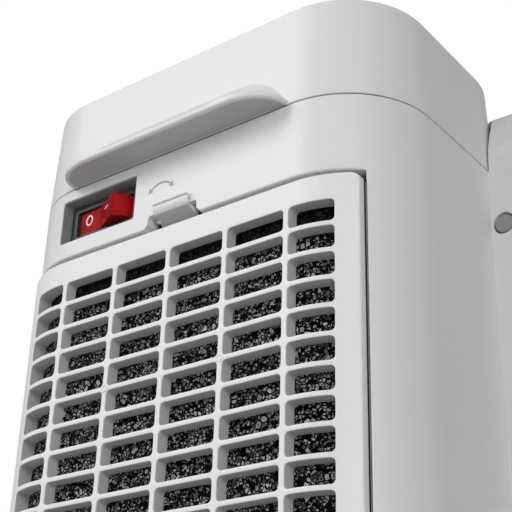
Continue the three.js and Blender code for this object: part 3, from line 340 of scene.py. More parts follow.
def skin(rings, closed=False, capped=True):
    """Points and faces of a surface carried through rings of equal length; the ends are closed flat,
    or the last ring joins the first."""
    rings = np.asarray(rings, float)
    count, around = rings.shape[:2]
    index = np.arange(count * around).reshape(count, around)
    low = index if closed else index[:-1]
    high = np.roll(index, -1, axis=0) if closed else index[1:]
    quads = np.stack([low, np.roll(low, -1, axis=1), np.roll(high, -1, axis=1), high], axis=-1).reshape(-1, 4)
    faces = quads.tolist()
    if capped and not closed:
        faces += [index[0, ::-1].tolist(), index[-1].tolist()]
    return rings.reshape(-1, 3), faces


def joined(shapes):
    """Points and faces of several shapes as one."""
    points, faces, start = [], [], 0
    for shape_points, shape_faces in shapes:
        points.append(shape_points)
        faces += [[start + corner for corner in face] for face in shape_faces]
        start += len(shape_points)
    return np.vstack(points), faces


def level(outline, z):
    """Ring at a height from an X, Y outline."""
    return np.c_[outline, np.full(len(outline), z)]


def facing(outline, y):
    """Ring at a depth from an X, Z outline, turned so that it runs the same way seen from +Y."""
    return np.c_[outline[:, 0], np.full(len(outline), y), outline[:, 1]][::-1]


def turned(pairs, x=0.0, across=0.0, around=96, along_y=False):
    """Ring for each radius and height pair about an upright axis at (x, across), or about one along Y."""
    angle = np.linspace(0, 2 * np.pi, around, endpoint=False)
    pairs = np.asarray(pairs, float)
    radius, height = pairs[:, 0][:, None], np.broadcast_to(pairs[:, 1][:, None], (len(pairs), around))
    out = across + radius * np.sin(angle)
    aside = x + radius * np.cos(angle)
    return np.stack([aside, height, out] if along_y else [aside, out, height], axis=-1)


def softened(pairs, radius=0.6, steps=3):
    """Closed profile with each corner replaced by a short quadratic curve that starts radius away from it."""
    pairs = np.asarray(pairs, float)
    parts = []
    for before, corner, after in zip(np.roll(pairs, 1, axis=0), pairs, np.roll(pairs, -1, axis=0)):
        reach = [min(radius, np.linalg.norm(end - corner) / 2) for end in (before, after)]
        start = corner + reach[0] * (before - corner) / np.linalg.norm(before - corner)
        stop = corner + reach[1] * (after - corner) / np.linalg.norm(after - corner)
        share = np.linspace(0, 1, steps + 1)[:, None]
        parts.append((1 - share) ** 2 * start + 2 * share * (1 - share) * corner + share ** 2 * stop)
    return np.vstack(parts)


def middle_of(name):
    """Middle of a frame node's box, in millimetres."""
    low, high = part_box(name)
    return [(a + b) / 2 / MM for a, b in zip(low, high)]


def mesh_of(name, shape):
    """Mesh from points in millimetres and faces."""
    points, faces = shape
    mesh = bpy.data.meshes.new(name)
    mesh.from_pydata((np.asarray(points) * MM).tolist(), [], faces)
    mesh.update()
    mesh.validate()
    return mesh


def solid(name, shape, weld=False):
    """Object in the scene from points and faces; its normals are made to face outwards."""
    made = bpy.data.objects.new(name, mesh_of(name, shape))
    bpy.context.scene.collection.objects.link(made)
    tidy_mesh(made.data, weld)
    return made


def tidy_mesh(mesh, weld):
    """Merges points that meet, where asked, and turns the faces outwards."""
    work = bmesh.new()
    work.from_mesh(mesh)
    if weld:
        bmesh.ops.remove_doubles(work, verts=work.verts, dist=0.002 * MM)
    bmesh.ops.recalc_face_normals(work, faces=work.faces)
    work.to_mesh(mesh)
    work.free()
    mesh.update()


def applied(made):
    """Replaces an object's mesh with what its modifiers make."""
    graph = bpy.context.evaluated_depsgraph_get()
    mesh = bpy.data.meshes.new_from_object(made.evaluated_get(graph))
    made.modifiers.clear()
    made.data = mesh
    return made


def bevelled(made, width, segments=2, angle=35):
    """Rounds the edges that are sharper than an angle."""
    modifier = made.modifiers.new("edge", "BEVEL")
    modifier.width = width * MM
    modifier.segments = segments
    modifier.limit_method = "ANGLE"
    modifier.angle_limit = math.radians(angle)
    modifier.use_clamp_overlap = True
    modifier.harden_normals = False
    return applied(made)


def combine(made, others, operation):
    """Union, difference or intersection of an object with others, which are used up."""
    for other in others:
        modifier = made.modifiers.new(operation.lower(), "BOOLEAN")
        modifier.operation = operation
        modifier.solver = "EXACT"
        modifier.object = other
        applied(made)
        bpy.data.objects.remove(other)
    return made


def dress(made, body, material, replaces=(), sharp=32):
    """Material, smooth shading with sharp edges above an angle, the body it rides on, what it stands for."""
    made.data.materials.clear()
    made.data.materials.append(material)
    for polygon in made.data.polygons:
        polygon.material_index = 0
    made.data.shade_smooth()
    made.data.set_sharp_from_angle(angle=math.radians(sharp))
    weighted = made.modifiers.new("weighted", "WEIGHTED_NORMAL")
    weighted.keep_sharp = True
    weighted.weight = 90
    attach(made, body)
    if replaces:
        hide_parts(*replaces)
    return made


def arc_profile(low, high, radius, steps=4):
    """Inset and height pairs of a wall from low to high whose two edges are rounded."""
    angle = np.linspace(0, np.pi / 2, steps + 1)
    foot = np.c_[radius * (1 - np.sin(angle)), low + radius * (1 - np.cos(angle))]
    head = np.c_[radius * (1 - np.cos(angle)), high - radius * (1 - np.sin(angle))]
    return np.vstack([foot, head])


def column_outline(inset=0.0, steps=24):
    """Plan of the column, or of a surface inset inside it: a rectangle with large round corners."""
    return rounded_rectangle(-COLUMN_HALF + inset, COLUMN_HALF - inset, -REAR_Y + inset, REAR_Y - inset,
                             COLUMN_RADIUS - inset, COLUMN_RADIUS - inset, steps)


def column_block(name, pairs):
    """Column-shaped block: the plan outline carried up through inset and height pairs."""
    return solid(name, skin([level(column_outline(inset), z) for inset, z in pairs]))


def box_block(name, low, high):
    """Plain block between two corners, for cutting and joining."""
    (x0, y0, z0), (x1, y1, z1) = low, high
    outline = np.array([[x0, y0], [x1, y0], [x1, y1], [x0, y1]], float)
    return solid(name, skin([level(outline, z0), level(outline, z1)]))


def rear_cutter(name, outline_of, depths):
    """Block cut in from the back: an X, Z outline grown by an amount at each depth; a depth is a Y, or a
    function of X where the block follows a curved wall."""
    rings = []
    for depth, grow in depths:
        outline = outline_of(grow)
        y = depth(outline[:, 0]) if callable(depth) else np.full(len(outline), depth)
        rings.append(np.c_[outline[:, 0], y, outline[:, 1]][::-1])
    return solid(name, skin(rings))


def rear_face(x, inset=0.0):
    """Y of the column's back at X, or of a surface inset behind it: flat in the middle, then a corner arc."""
    radius = COLUMN_RADIUS - inset
    past = np.clip(np.abs(x) - (COLUMN_HALF - COLUMN_RADIUS), 0, radius)
    return REAR_Y - COLUMN_RADIUS + np.sqrt(radius ** 2 - past ** 2)


def slab_block(name, inset, low, edge=0.0):
    """Wide front part: its plan carried up, met with a side profile whose rear top is a large round."""
    plan = rounded_rectangle(-FRONT_HALF + inset, FRONT_HALF - inset, FRONT_Y + inset, FLANGE_Y - inset,
                             FRONT_RADIUS - inset, FLANGE_RADIUS - inset, 12)
    upright = solid(name, skin([level(plan, low), level(plan, FRONT_TOP + 5)]))
    angle = np.linspace(0, np.pi / 2, 33)
    radius = FRONT_TOP_RADIUS - inset
    centre = np.array([FLANGE_Y - FRONT_TOP_RADIUS, FRONT_TOP - FRONT_TOP_RADIUS])
    arc = centre + radius * np.c_[np.cos(angle), np.sin(angle)]
    side = np.vstack([[FRONT_Y - 5, low - 5], [FLANGE_Y - inset, low - 5], arc,
                      [FRONT_Y - 5, FRONT_TOP - inset]])
    rings = [np.c_[np.full(len(side), x), side] for x in (-FRONT_HALF - 5, FRONT_HALF + 5)]
    across = solid(name + "_side", skin(rings))
    combine(upright, [across], "INTERSECT")
    if edge:
        bevelled(upright, edge, 4, 40)
    return upright


# Rear housing
def opening_outline(grow):
    """Filter opening without its latch notch, grown by an amount: X, Z points from the low left."""
    return rounded_rectangle(-OPENING_HALF - grow, OPENING_HALF + grow, OPENING_BOTTOM - grow,
                             OPENING_TOP + grow, 0.6 + grow, 0.6 + grow, 5, 40)


def notch_outline(grow):
    """Latch notch: straight sides that spread by a small chamfer where they meet the opening."""
    half, top = NOTCH_HALF + grow, NOTCH_TOP + grow
    right = np.array([[half + 1.8, OPENING_TOP - 3], [half + 1.8, OPENING_TOP + 0.4],
                      [half, OPENING_TOP + 2.0], [half, top - 0.8], [half - 0.8, top]])
    left = right[::-1] * [-1, 1]
    return np.vstack([left[-1:], right, left[:-1]])


def recess_outline(grow):
    """Switch recess: a rectangle with small corners."""
    return rounded_rectangle(SWITCH_RIGHT - grow, SWITCH_LEFT + grow, SWITCH_BOTTOM - grow, SWITCH_TOP + grow,
                             1.1 + grow, 1.1 + grow, 6)


def shell_rooms():
    """What both halves of the shell leave free: the cap's place with the seam's gap, the column's inside."""
    cap_room = column_block("cap_room", [(-SEAM_GAP, SEAM_Z), (-SEAM_GAP, CAP_TOP + 2)])
    return cap_room, column_block("inside", [(WALL, COLUMN_FOOT + WALL), (WALL, SEAM_Z + 2)])


def opening_round(turn):
    """Depth, as a function of X, and growth of the opening at an angle round the arc of its edge."""
    drop = OPENING_ROUND * (1 - math.sin(turn)) - 0.02

    def depth(x):
        return rear_face(x, drop)
    return depth, OPENING_ROUND * (1 - math.cos(turn))


def rear_housing():
    """Column and the rear half of the wide front part as one hollow shell, with returns round the filter
    opening, the latch notch, the switch recess and a recess over each screw."""
    body = column_block("rear_shell", arc_profile(COLUMN_FOOT, SEAM_Z, 0.35, 2))
    combine(body, [slab_block("rear_slab", 0.0, COLUMN_FOOT, 1.6)], "UNION")
    cap_room, inside = shell_rooms()
    slab_inside = slab_block("slab_inside", WALL, COLUMN_FOOT + WALL)
    front = box_block("front_half", (-120, -80, 0), (120, PARTING_Y + 0.3, 640))
    combine(body, [cap_room, inside, slab_inside, front], "DIFFERENCE")
    pocket = box_block("recess_block", (SWITCH_RIGHT - 3, 51.5, SWITCH_BOTTOM - 3),
                       (SWITCH_LEFT + 3, REAR_Y - WALL + 0.2, SWITCH_TOP + 2.4))
    returns = rear_cutter("returns", opening_outline, [(30.0, 2.0), (REAR_Y + 4, 2.0)])
    combine(returns, [rear_cutter("notch_return", notch_outline, [(45.0, 2.0), (REAR_Y + 4, 2.0)])], "UNION")
    returns_skin = column_block("returns_skin", [(WALL / 2, COLUMN_FOOT), (WALL / 2, SEAM_Z)])
    combine(returns, [returns_skin], "INTERSECT")
    hollow = column_block("returns_inside", [(RETURN_DEPTH, COLUMN_FOOT - 1), (RETURN_DEPTH, SEAM_Z + 1)])
    combine(returns, [hollow], "DIFFERENCE")
    combine(body, [pocket, returns], "UNION")
    flare = [(45.0, 0.0), (REAR_Y - 0.5, 0.0), (REAR_Y - 0.15, 0.12), (REAR_Y, 0.5), (REAR_Y + 4, 0.5)]
    soft_edge = [(30.0, 0.0)] + [opening_round(turn) for turn in np.radians((0, 30, 60, 90))]
    soft_edge.append((REAR_Y + 4, OPENING_ROUND))
    cutters = [
        rear_cutter("opening", opening_outline, soft_edge),
        rear_cutter("notch", notch_outline, flare),
        rear_cutter("recess", recess_outline, [(REAR_Y - SWITCH_DEPTH, 0.0)] + flare[1:]),
        box_block("switch_hole", (ROCKER_X - 17.4, 40, ROCKER_Z - 7.9),
                  (ROCKER_X + 17.4, 56, ROCKER_Z + 7.9)),
    ]
    for side in (-1, 1):
        for z in SCREW_ROWS:
            outline = rounded_rectangle(side * SCREW_X - RECESS_RADIUS, side * SCREW_X + RECESS_RADIUS,
                                        z - RECESS_RADIUS, z + RECESS_RADIUS,
                                        RECESS_RADIUS, RECESS_RADIUS, 10)
            centre = np.array([side * SCREW_X, z])
            depths = [(FLANGE_Y - RECESS_DEPTH, 1.0), (FLANGE_Y - 0.6, 1.0), (FLANGE_Y - 0.15, 1.05),
                      (FLANGE_Y, 1.12), (FLANGE_Y + 3, 1.12)]
            rings = [facing(centre + (outline - centre) * grow, y) for y, grow in depths]
            cutters.append(solid("screw_recess", skin(rings)))
    combine(body, cutters, "DIFFERENCE")
    return dress(body, "column", SHELL_WHITE, ["rear_housing"])


rear_housing()

# Floor of the latch notch
notch_back = box_block("notch_back", (-NOTCH_HALF - 2, 46.2, OPENING_TOP - 6),
                       (NOTCH_HALF + 2, 47.6, NOTCH_TOP + 2))
dress(notch_back, "column", SHELL_WHITE)


# Front panel
def front_panel():
    """Front half of the wide part: the slab hollowed out, up to the parting line, with the outlet's hole."""
    body = slab_block("front_shell", 0.0, COLUMN_FOOT, 1.6)
    inside = slab_block("front_inside", WALL, COLUMN_FOOT + WALL)
    cap_room, well = shell_rooms()
    rear = box_block("rear_half", (-120, PARTING_Y - 0.3, 0), (120, 80, 640))

    def outline(grow):
        return rounded_rectangle(-OUTLET_HALF - grow, OUTLET_HALF + grow, OUTLET_LOW - grow,
                                 OUTLET_HIGH + grow, OUTLET_RADIUS + grow, OUTLET_RADIUS + grow, 10)
    depths = [(FRONT_Y + 6, 0.0), (FRONT_Y + 0.8, 0.0), (FRONT_Y + 0.25, 0.25), (FRONT_Y, 0.8),
              (FRONT_Y - 3, 0.8)]
    outlet = rear_cutter("outlet", outline, depths)
    combine(body, [inside, cap_room, well, rear, outlet], "DIFFERENCE")
    return dress(body, "column", SHELL_WHITE, ["front_panel"])


front_panel()


# Cap
def handle_line(sign, root_y, half, outer_y, corner, steps):
    """One side of the handle's plan, from its root out round an elliptic corner: X, Y points."""
    angle = np.linspace(0, np.pi / 2, steps)
    bend = np.c_[half - corner[0] * (1 - np.cos(angle)), outer_y - corner[1] * (1 - np.sin(angle))]
    side = np.c_[np.full(3, half), np.linspace(root_y, outer_y - corner[1], 4)[:-1]]
    line = np.vstack([side, bend])
    return np.c_[HANDLE_X + sign * line[:, 0], line[:, 1]]


def handle_plan(inset, steps=20, straight=13):
    """Plan of the handle inset from its outer edge: root, corner, straight, corner, root."""
    corner = [semi - inset for semi in HANDLE_CORNER]
    half, outer_y = HANDLE_HALF - inset, REAR_Y + HANDLE_REACH - inset
    sides = [handle_line(sign, REAR_Y - 1.5, half, outer_y, corner, steps) for sign in (-1, 1)]
    share = np.linspace(0, 1, straight + 2)[1:-1, None]
    between = sides[0][-1] + share * (sides[1][-1] - sides[0][-1])
    return np.vstack([sides[0], between, sides[1][::-1]])


def handle_foot(plan):
    """Where the handle's slope meets the cap, for each point of its plan: level in the middle, then a curve
    that falls to the seam at both ends; X, Z points."""
    bottom = SEAM_Z + SEAM_GAP
    length = np.r_[0, np.cumsum(np.linalg.norm(np.diff(plan, axis=0), axis=1))]
    end = np.minimum(length, length[-1] - length)
    turn = np.clip(end / HANDLE_END_SPAN, 0, 1) * np.pi / 2
    half = HANDLE_TOP_HALF + (HANDLE_HALF - 0.6 - HANDLE_TOP_HALF) * np.cos(turn)
    share = np.clip((end - HANDLE_END_SPAN) / (length[-1] / 2 - HANDLE_END_SPAN), 0, 1)
    x = np.where(length < length[-1] / 2, -1, 1) * half * (1 - share)
    return np.c_[HANDLE_X + x, bottom + HANDLE_RISE * np.sin(turn) ** 1.5]


def handle():
    """Ledge gripped from below: a level underside with a shallow hollow in it, a rounded edge, an upright lip
    that fades out towards both ends, then a slope that runs into the cap's wall."""
    bottom = SEAM_Z + SEAM_GAP
    lean = CAP_DRAFT / (CAP_TOP - bottom)
    edge = handle_plan(0.0)
    angle = np.linspace(0, np.pi / 2, 5)
    rings = [level(handle_plan(HANDLE_RIM + inset), bottom + rise)
             for inset, rise in ((0.3, HANDLE_HOLLOW), (0.05, 0.15), (-0.1, 0.0))]
    rings += [level(handle_plan(HANDLE_EDGE * (1 - math.sin(a))), bottom + HANDLE_EDGE * (1 - math.cos(a)))
              for a in angle]
    foot = handle_foot(edge)
    lip = rings[-1].copy()
    lip[:, 2] += (HANDLE_LIP - HANDLE_EDGE) * np.sqrt((foot[:, 1] - bottom) / HANDLE_RISE)
    rings.append(lip)
    wall = np.c_[foot[:, 0], rear_face(foot[:, 0]) - lean * (foot[:, 1] - bottom), foot[:, 1]]
    for share in (0.25, 0.5, 0.72):
        rings.append(lip + share * (wall - lip))
    start = rings[-1]
    beyond = np.c_[wall[:, 0], wall[:, 1], wall[:, 2]] + 0.16 * (wall - lip)
    beyond[:, 1] = rear_face(beyond[:, 0]) - lean * (beyond[:, 2] - bottom) - 0.04
    for share in (0.25, 0.5, 0.75, 1.0):
        rings.append((1 - share) ** 2 * start + 2 * share * (1 - share) * wall + share ** 2 * beyond)
    root = beyond.copy()
    root[:, 1] = REAR_Y - 3.5
    rings.append(root)
    made = solid("handle", skin([np.maximum(ring, [-200, -200, bottom]) for ring in rings]))
    dress(made, "column", SHELL_WHITE, sharp=50)
    # Painted shade: the hollow's ceiling under the ledge gets the greyer white
    made.data.materials.append(PAINTED_SHADE_WHITE)
    for polygon in made.data.polygons:
        if polygon.normal.z < -0.9 and polygon.center.z > (bottom + HANDLE_HOLLOW / 2) * MM:
            polygon.material_index = 1
    return made


def top_cap():
    """Cap: the column's plan drawn in by the draft, hollow below, with the control panel's recess on top."""
    bottom = SEAM_Z + SEAM_GAP
    slope = CAP_DRAFT / (CAP_TOP - bottom)
    pairs = [(inset + slope * (z - bottom), z) for inset, z in arc_profile(bottom, CAP_TOP, 0.45, 3)]
    body = column_block("cap_shell", pairs)
    inside = column_block("cap_inside", [(WALL, bottom - 2), (WALL + CAP_DRAFT, CAP_TOP - WALL)])
    combine(body, [inside], "DIFFERENCE")
    panel_block = box_block("panel_block", (-PANEL_HALF - 3, PANEL_FRONT - 3, PANEL_Z - 3),
                            (PANEL_HALF + 3, PANEL_REAR + 3, CAP_TOP - WALL / 2))
    combine(body, [panel_block], "UNION")
    outline = rounded_rectangle(-PANEL_HALF, PANEL_HALF, PANEL_FRONT, PANEL_REAR, 4, 4, 6)
    recess = solid("panel_recess", skin([level(outline, PANEL_Z), level(outline, CAP_TOP + 2)]))
    combine(body, [recess], "DIFFERENCE")
    return dress(body, "column", SHELL_WHITE, ["top_cap"])


top_cap()
handle()


# Filter cover
def cover_face(x):
    """Y of the cover's outer face at X: flat in the middle, then a corner arc."""
    radius = COLUMN_RADIUS + COVER_PROUD
    flat = COLUMN_HALF + COVER_SIDE_PROUD + COVER_PROUD - radius
    past = np.clip(np.abs(x) - flat, 0, None)
    return REAR_Y + COVER_PROUD - radius + np.sqrt(radius ** 2 - past ** 2)


def cover_back(x):
    """Y of the cover's inner face at X."""
    inset = COVER_THICK - COVER_PROUD
    radius = COLUMN_RADIUS - inset
    past = np.clip(np.abs(x) - (COLUMN_HALF - COLUMN_RADIUS), 0, None)
    return REAR_Y - COLUMN_RADIUS + np.sqrt(radius ** 2 - np.minimum(past, radius) ** 2)


def cover_rings(stages):
    """Rings on the cover from X, Z outlines, each at a drop below its outer face or on its inner face."""
    rings = []
    for outline, drop, front in stages:
        y = cover_face(outline[:, 0]) - drop if front else cover_back(outline[:, 0])
        rings.append(np.c_[outline[:, 0], y, outline[:, 1]])
    return rings


def cover_cells():
    """Grille cells: from each cell's rectangle in the face, over a small round, down the slot's wall to the
    back face and out to the rectangle again."""
    half = SLOT_BAR / 2
    edges = [-GRILLE_HALF - half, -2 * SLOT_COLUMN, -SLOT_COLUMN, 0.0, SLOT_COLUMN, 2 * SLOT_COLUMN,
             GRILLE_HALF + half]
    rib = (SLOT_PITCH - SLOT_HEIGHT) / 2
    shapes = []
    for column in range(6):
        left, right = edges[column], edges[column + 1]
        straight = 5 if column in (0, 5) else 1
        for row in range(SLOT_ROWS):
            head = GRID_TOP + rib - row * SLOT_PITCH
            foot = head - SLOT_PITCH
            frame_ring = rounded_rectangle(left, right, foot, head, 0.0, 0.0, 3, straight)

            def slot(grow):
                return rounded_rectangle(left + half - grow, right - half + grow, foot + rib - grow,
                                         head - rib + grow, 1.5 + grow, 1.5 + grow, 3, straight)
            stages = [(frame_ring, 0.0, True), (slot(0.4), 0.0, True), (slot(0.12), 0.12, True),
                      (slot(0.0), 0.4, True), (slot(-0.12), 0.0, False), (frame_ring, 0.0, False)]
            shapes.append(skin(cover_rings(stages), capped=False))
    return shapes, edges


def cover_frame(edges):
    """Rim of the cover: the grille's border drawn out to the cover's outline in four bands, rounded over the
    edge, down the side and back in along the inner face."""
    rib = (SLOT_PITCH - SLOT_HEIGHT) / 2
    top, bottom = GRID_TOP + rib, GRID_TOP + rib - SLOT_ROWS * SLOT_PITCH
    row_z = np.linspace(bottom, top, SLOT_ROWS + 1)
    corner_steps = 8
    def side_x():
        xs = []
        for column in range(6):
            count = 5 if column in (0, 5) else 1
            xs += np.linspace(edges[column], edges[column + 1], count + 1)[:-1].tolist()
        return np.array(xs + [edges[6]])
    xs = side_x()
    inner, outer = [], []
    radius = 2.4
    angle = np.radians(np.linspace(0, 90, corner_steps + 1))
    def corner(sx, sz, start):
        centre = np.array([sx * (COVER_HALF - radius), (COVER_TOP if sz > 0 else COVER_BOTTOM) - sz * radius])
        turn = np.radians(start) + angle
        return centre + radius * np.c_[np.cos(turn), np.sin(turn)]
    limit = COVER_HALF - radius
    # bottom edge, left to right, then right side, top and left side
    inner += [[x, bottom] for x in xs]
    outer += [[np.clip(x, -limit, limit), COVER_BOTTOM] for x in xs]
    inner += [[edges[6], bottom]] * (corner_steps + 1)
    outer += corner(1, -1, 270).tolist()
    inner += [[edges[6], z] for z in row_z[1:-1]]
    outer += [[COVER_HALF, z] for z in row_z[1:-1]]
    inner += [[edges[6], top]] * (corner_steps + 1)
    outer += corner(1, 1, 0).tolist()
    inner += [[x, top] for x in xs[::-1]]
    outer += [[np.clip(x, -limit, limit), COVER_TOP] for x in xs[::-1]]
    inner += [[edges[0], top]] * (corner_steps + 1)
    outer += corner(-1, 1, 90).tolist()
    inner += [[edges[0], z] for z in row_z[1:-1][::-1]]
    outer += [[-COVER_HALF, z] for z in row_z[1:-1][::-1]]
    inner += [[edges[0], bottom]] * (corner_steps + 1)
    outer += corner(-1, -1, 180).tolist()
    inner, outer = np.array(inner), np.array(outer)
    centre = np.array([0.0, (COVER_TOP + COVER_BOTTOM) / 2])
    def drawn_in(amount):
        half = np.array([COVER_HALF, (COVER_TOP - COVER_BOTTOM) / 2])
        return centre + (outer - centre) * (1 - amount / half)
    stages = [(inner + share * (drawn_in(0.5) - inner), 0.0, True) for share in (0, 0.25, 0.5, 0.75, 1)]
    stages += [(drawn_in(0.25), 0.07, True), (drawn_in(0.07), 0.25, True), (drawn_in(0.0), 0.5, True),
               (drawn_in(0.15), 0.0, False)]
    stages += [(inner + share * (drawn_in(0.15) - inner), 0.0, False) for share in (0.66, 0.33, 0)]
    return skin(cover_rings(stages), capped=False)


def filter_cover():
    """Grille cells and rim as one welded shell; the walls of the slots get the greyer white as painted shade.
    """
    shapes, edges = cover_cells()
    body = solid("grille_cover", joined(shapes + [cover_frame(edges)]), weld=True)
    dress(body, "cover", COVER_WHITE, ["filter_cover"], sharp=40)
    # Painted shade: slot walls more than 0.6 mm in from both faces get the greyer white
    body.data.materials.append(PAINTED_SHADE_WHITE)
    low = GRID_TOP - SLOT_ROWS * SLOT_PITCH
    for polygon in body.data.polygons:
        x, y, z = polygon.center / MM
        in_grille = abs(x) < GRILLE_HALF + 0.5 and low < z < GRID_TOP + 0.5
        if in_grille and cover_face(x) - y > 0.6 and y - cover_back(x) > 0.6:
            polygon.material_index = 1
    return body


filter_cover()


# Latch
def latch():
    """Finger tab: a flat lip over the housing, a groove, a round that turns in under it, then the straight
    underside of the arm; the back of the arm lies under the notch's top edge. A pin ends in its left side."""
    lip = [[0.45, 0.0], [1.9, 0.0], [2.25, -0.3], [2.25, -0.7], [2.0, -0.95], [1.2, -1.0], [1.3, -1.3]]
    turn = np.radians(np.linspace(2, -60, 12))
    bulge = np.c_[-2.0 + 3.65 * np.cos(turn), -1.6 + 3.65 * np.sin(turn)]
    arm = [[-6.3, -8.3], [-6.3, -4.5], [-4.0, -4.4], [-0.4, -4.3], [0.2, -4.0], [0.4, -2.9]]
    profile = np.vstack([lip, bulge, arm]) + [REAR_Y, LATCH_TOP]
    ends = [np.c_[np.full(len(profile), x), profile] for x in (-LATCH_HALF, LATCH_HALF)]
    tab = solid("latch_tab", skin(ends))
    bevelled(tab, 0.25, 2, 50)
    turn = np.linspace(0, 2 * np.pi, 20, endpoint=False)
    pin_y, pin_z = REAR_Y - 3.4, LATCH_TOP - 6.0
    rings = []
    for x, radius in ((LATCH_HALF - 1.0, 0.8), (LATCH_HALF + 0.45, 0.8), (LATCH_HALF + 0.65, 0.6)):
        rings.append(np.c_[np.full(20, x), pin_y + radius * np.cos(turn), pin_z + radius * np.sin(turn)])
    combine(tab, [solid("latch_pin_end", skin(rings))], "UNION")
    dress(tab, "latch", COVER_WHITE, ["cover_latch"], sharp=45)
    # Painted shade: low faces of the tab that point down get the greyer white
    tab.data.materials.append(PAINTED_SHADE_WHITE)
    for polygon in tab.data.polygons:
        if polygon.normal.z < -0.83 and polygon.center.z < (LATCH_TOP - 4.0) * MM:
            polygon.material_index = 1
    return tab


latch()


# Rocker switch
def switch_bezel():
    """Bezel on the recess floor: a rounded frame with a raised inner rim and the well of the rocker."""
    back = REAR_Y - SWITCH_DEPTH + 0.3

    def outer(grow):
        return rounded_rectangle(SWITCH_RIGHT + 0.8 - grow, SWITCH_LEFT - 0.8 + grow,
                                 SWITCH_BOTTOM + 0.8 - grow, SWITCH_TOP - 0.8 + grow, 1.6, 1.6, 5)

    def rim(grow):
        return rounded_rectangle(ROCKER_X - 18.4 - grow, ROCKER_X + 17.0 + grow,
                                 ROCKER_Z - 7.2 - grow, ROCKER_Z + 7.2 + grow, 1.2, 1.2, 4)

    def well(grow):
        return rounded_rectangle(ROCKER_X - 17.1 - grow, ROCKER_X + 15.3 + grow,
                                 ROCKER_Z - 5.8 - grow, ROCKER_Z + 5.8 + grow, 0.5, 0.5, 3)
    body = rear_cutter("switch_frame", outer, [(back, 0.0), (back + 1.0, 0.0), (back + 1.3, -0.3)])
    raised = rear_cutter("switch_rim", rim, [(back - 18.0, 0.0), (back + 1.7, 0.0), (back + 1.9, -0.2)])
    combine(body, [raised], "UNION")
    combine(body, [rear_cutter("switch_well", well, [(back - 16.5, 0.0), (back + 5, 0.0)])], "DIFFERENCE")
    # Painted shade: a mid-grey liner over the recess's walls, where the white housing is only in shade
    rings = []
    for grow, y in ((0.05, back), (0.05, REAR_Y - 0.7), (-0.35, REAR_Y - 0.8), (-0.35, back)):
        rings.append(facing(recess_outline(grow), y))
    dress(solid("switch_shade_liner", skin(rings, closed=True)), "column", SHADE_AND_PLUG_GREY)
    # The bezel's dark grey is partly its own colour, partly painted shade in the recess
    return dress(body, "column", BEZEL_PLASTIC, ["switch_body"])


def rocker_point(x, y, z):
    """Point given in the rocker's own upright frame, tilted about its pivot and moved to its place."""
    turn, x, y = ROCKER_TILT, np.asarray(x, float), np.asarray(y, float)
    return np.stack([ROCKER_X + x * math.cos(turn) - y * math.sin(turn),
                     ROCKER_Y + x * math.sin(turn) + y * math.cos(turn),
                     np.broadcast_to(ROCKER_Z + np.asarray(z, float), x.shape)], axis=-1)


def rocker():
    """Rocker: two shallow slopes that meet in a rounded valley, between end arcs about the pivot."""
    radius, half, edge = 15.0, ROCKER_SLOPE, ROCKER_EDGE
    long_half, long_radius = 13.4, 16.6
    x = np.linspace(-long_half, half, 43)
    top = np.c_[x, rocker_surface(x)]
    angle = np.linspace(math.atan2(edge, half), -0.15, 9)[1:]
    right = np.c_[radius * np.cos(angle), radius * np.sin(angle)]
    far = np.linspace(math.atan2(rocker_surface(long_half), long_half), -0.15, 9)[1:]
    left = np.c_[-long_radius * np.cos(far), long_radius * np.sin(far)][::-1]
    profile = np.vstack([top, right, [[0, -7.0]], left])
    levels = [(-5.2, 0.25), (-4.95, 0.0), (4.95, 0.0), (5.2, 0.25)]
    rings = []
    for z, draw in levels:
        size = np.linalg.norm(profile, axis=1)[:, None]
        moved = profile * (1 - draw / size)
        rings.append(rocker_point(moved[:, 0], moved[:, 1], z))
    made = solid("red_rocker", skin(rings))
    return dress(made, "rocker", ROCKER_RED, ["switch_rocker"], sharp=28)


def rocker_surface(x):
    """Height of the rocker's face over its pivot: a hyperbola, rounded at the valley and straight beyond."""
    whole = math.hypot(ROCKER_SLOPE, ROCKER_BEND) - ROCKER_BEND
    rise = np.sqrt(x ** 2 + ROCKER_BEND ** 2) - ROCKER_BEND
    return ROCKER_EDGE - ROCKER_VALLEY + ROCKER_VALLEY * rise / whole


def rocker_marks():
    """Ring and bar laid on the two slopes, 0.12 mm proud."""
    angle = np.linspace(0, 2 * np.pi, 40, endpoint=False)
    centre, lift_z = 7.0, 0.9
    rings = []
    for radius, lift in ((2.0, -0.1), (2.0, 0.12), (1.5, 0.12), (1.5, -0.1)):
        x = centre + radius * np.cos(angle)
        rings.append(rocker_point(x, rocker_surface(x) + lift, lift_z + radius * 1.25 * np.sin(angle)))
    ring = solid("rocker_ring_mark", skin(rings, closed=True))
    dress(ring, "rocker", WHITE_INK)
    bar = rounded_rectangle(-8.9, -4.9, 1.35, 1.85, 0.1, 0.1, 2)
    rings = [rocker_point(bar[:, 0], rocker_surface(bar[:, 0]) + lift, bar[:, 1]) for lift in (-0.1, 0.16)]
    dress(solid("rocker_bar_mark", skin(rings)), "rocker", WHITE_INK)


switch_bezel()
rocker()
rocker_marks()


# Printed marks and screws
def cover_marks():
    """Two small ring-shaped mould marks on the grille, where bars cross below the fifth row."""
    mark_z = GRID_TOP + (SLOT_PITCH - SLOT_HEIGHT) / 2 - 5 * SLOT_PITCH
    for sign in (-1, 1):
        face = REAR_Y + COVER_PROUD
        profile = [(1.5, face - 0.1), (1.4, face + 0.3), (1.0, face + 0.3), (0.85, face - 0.1)]
        ring = solid("mould_mark", skin(turned(profile, sign * SLOT_COLUMN, mark_z, 32, True), closed=True))
        dress(ring, "cover", COVER_WHITE)


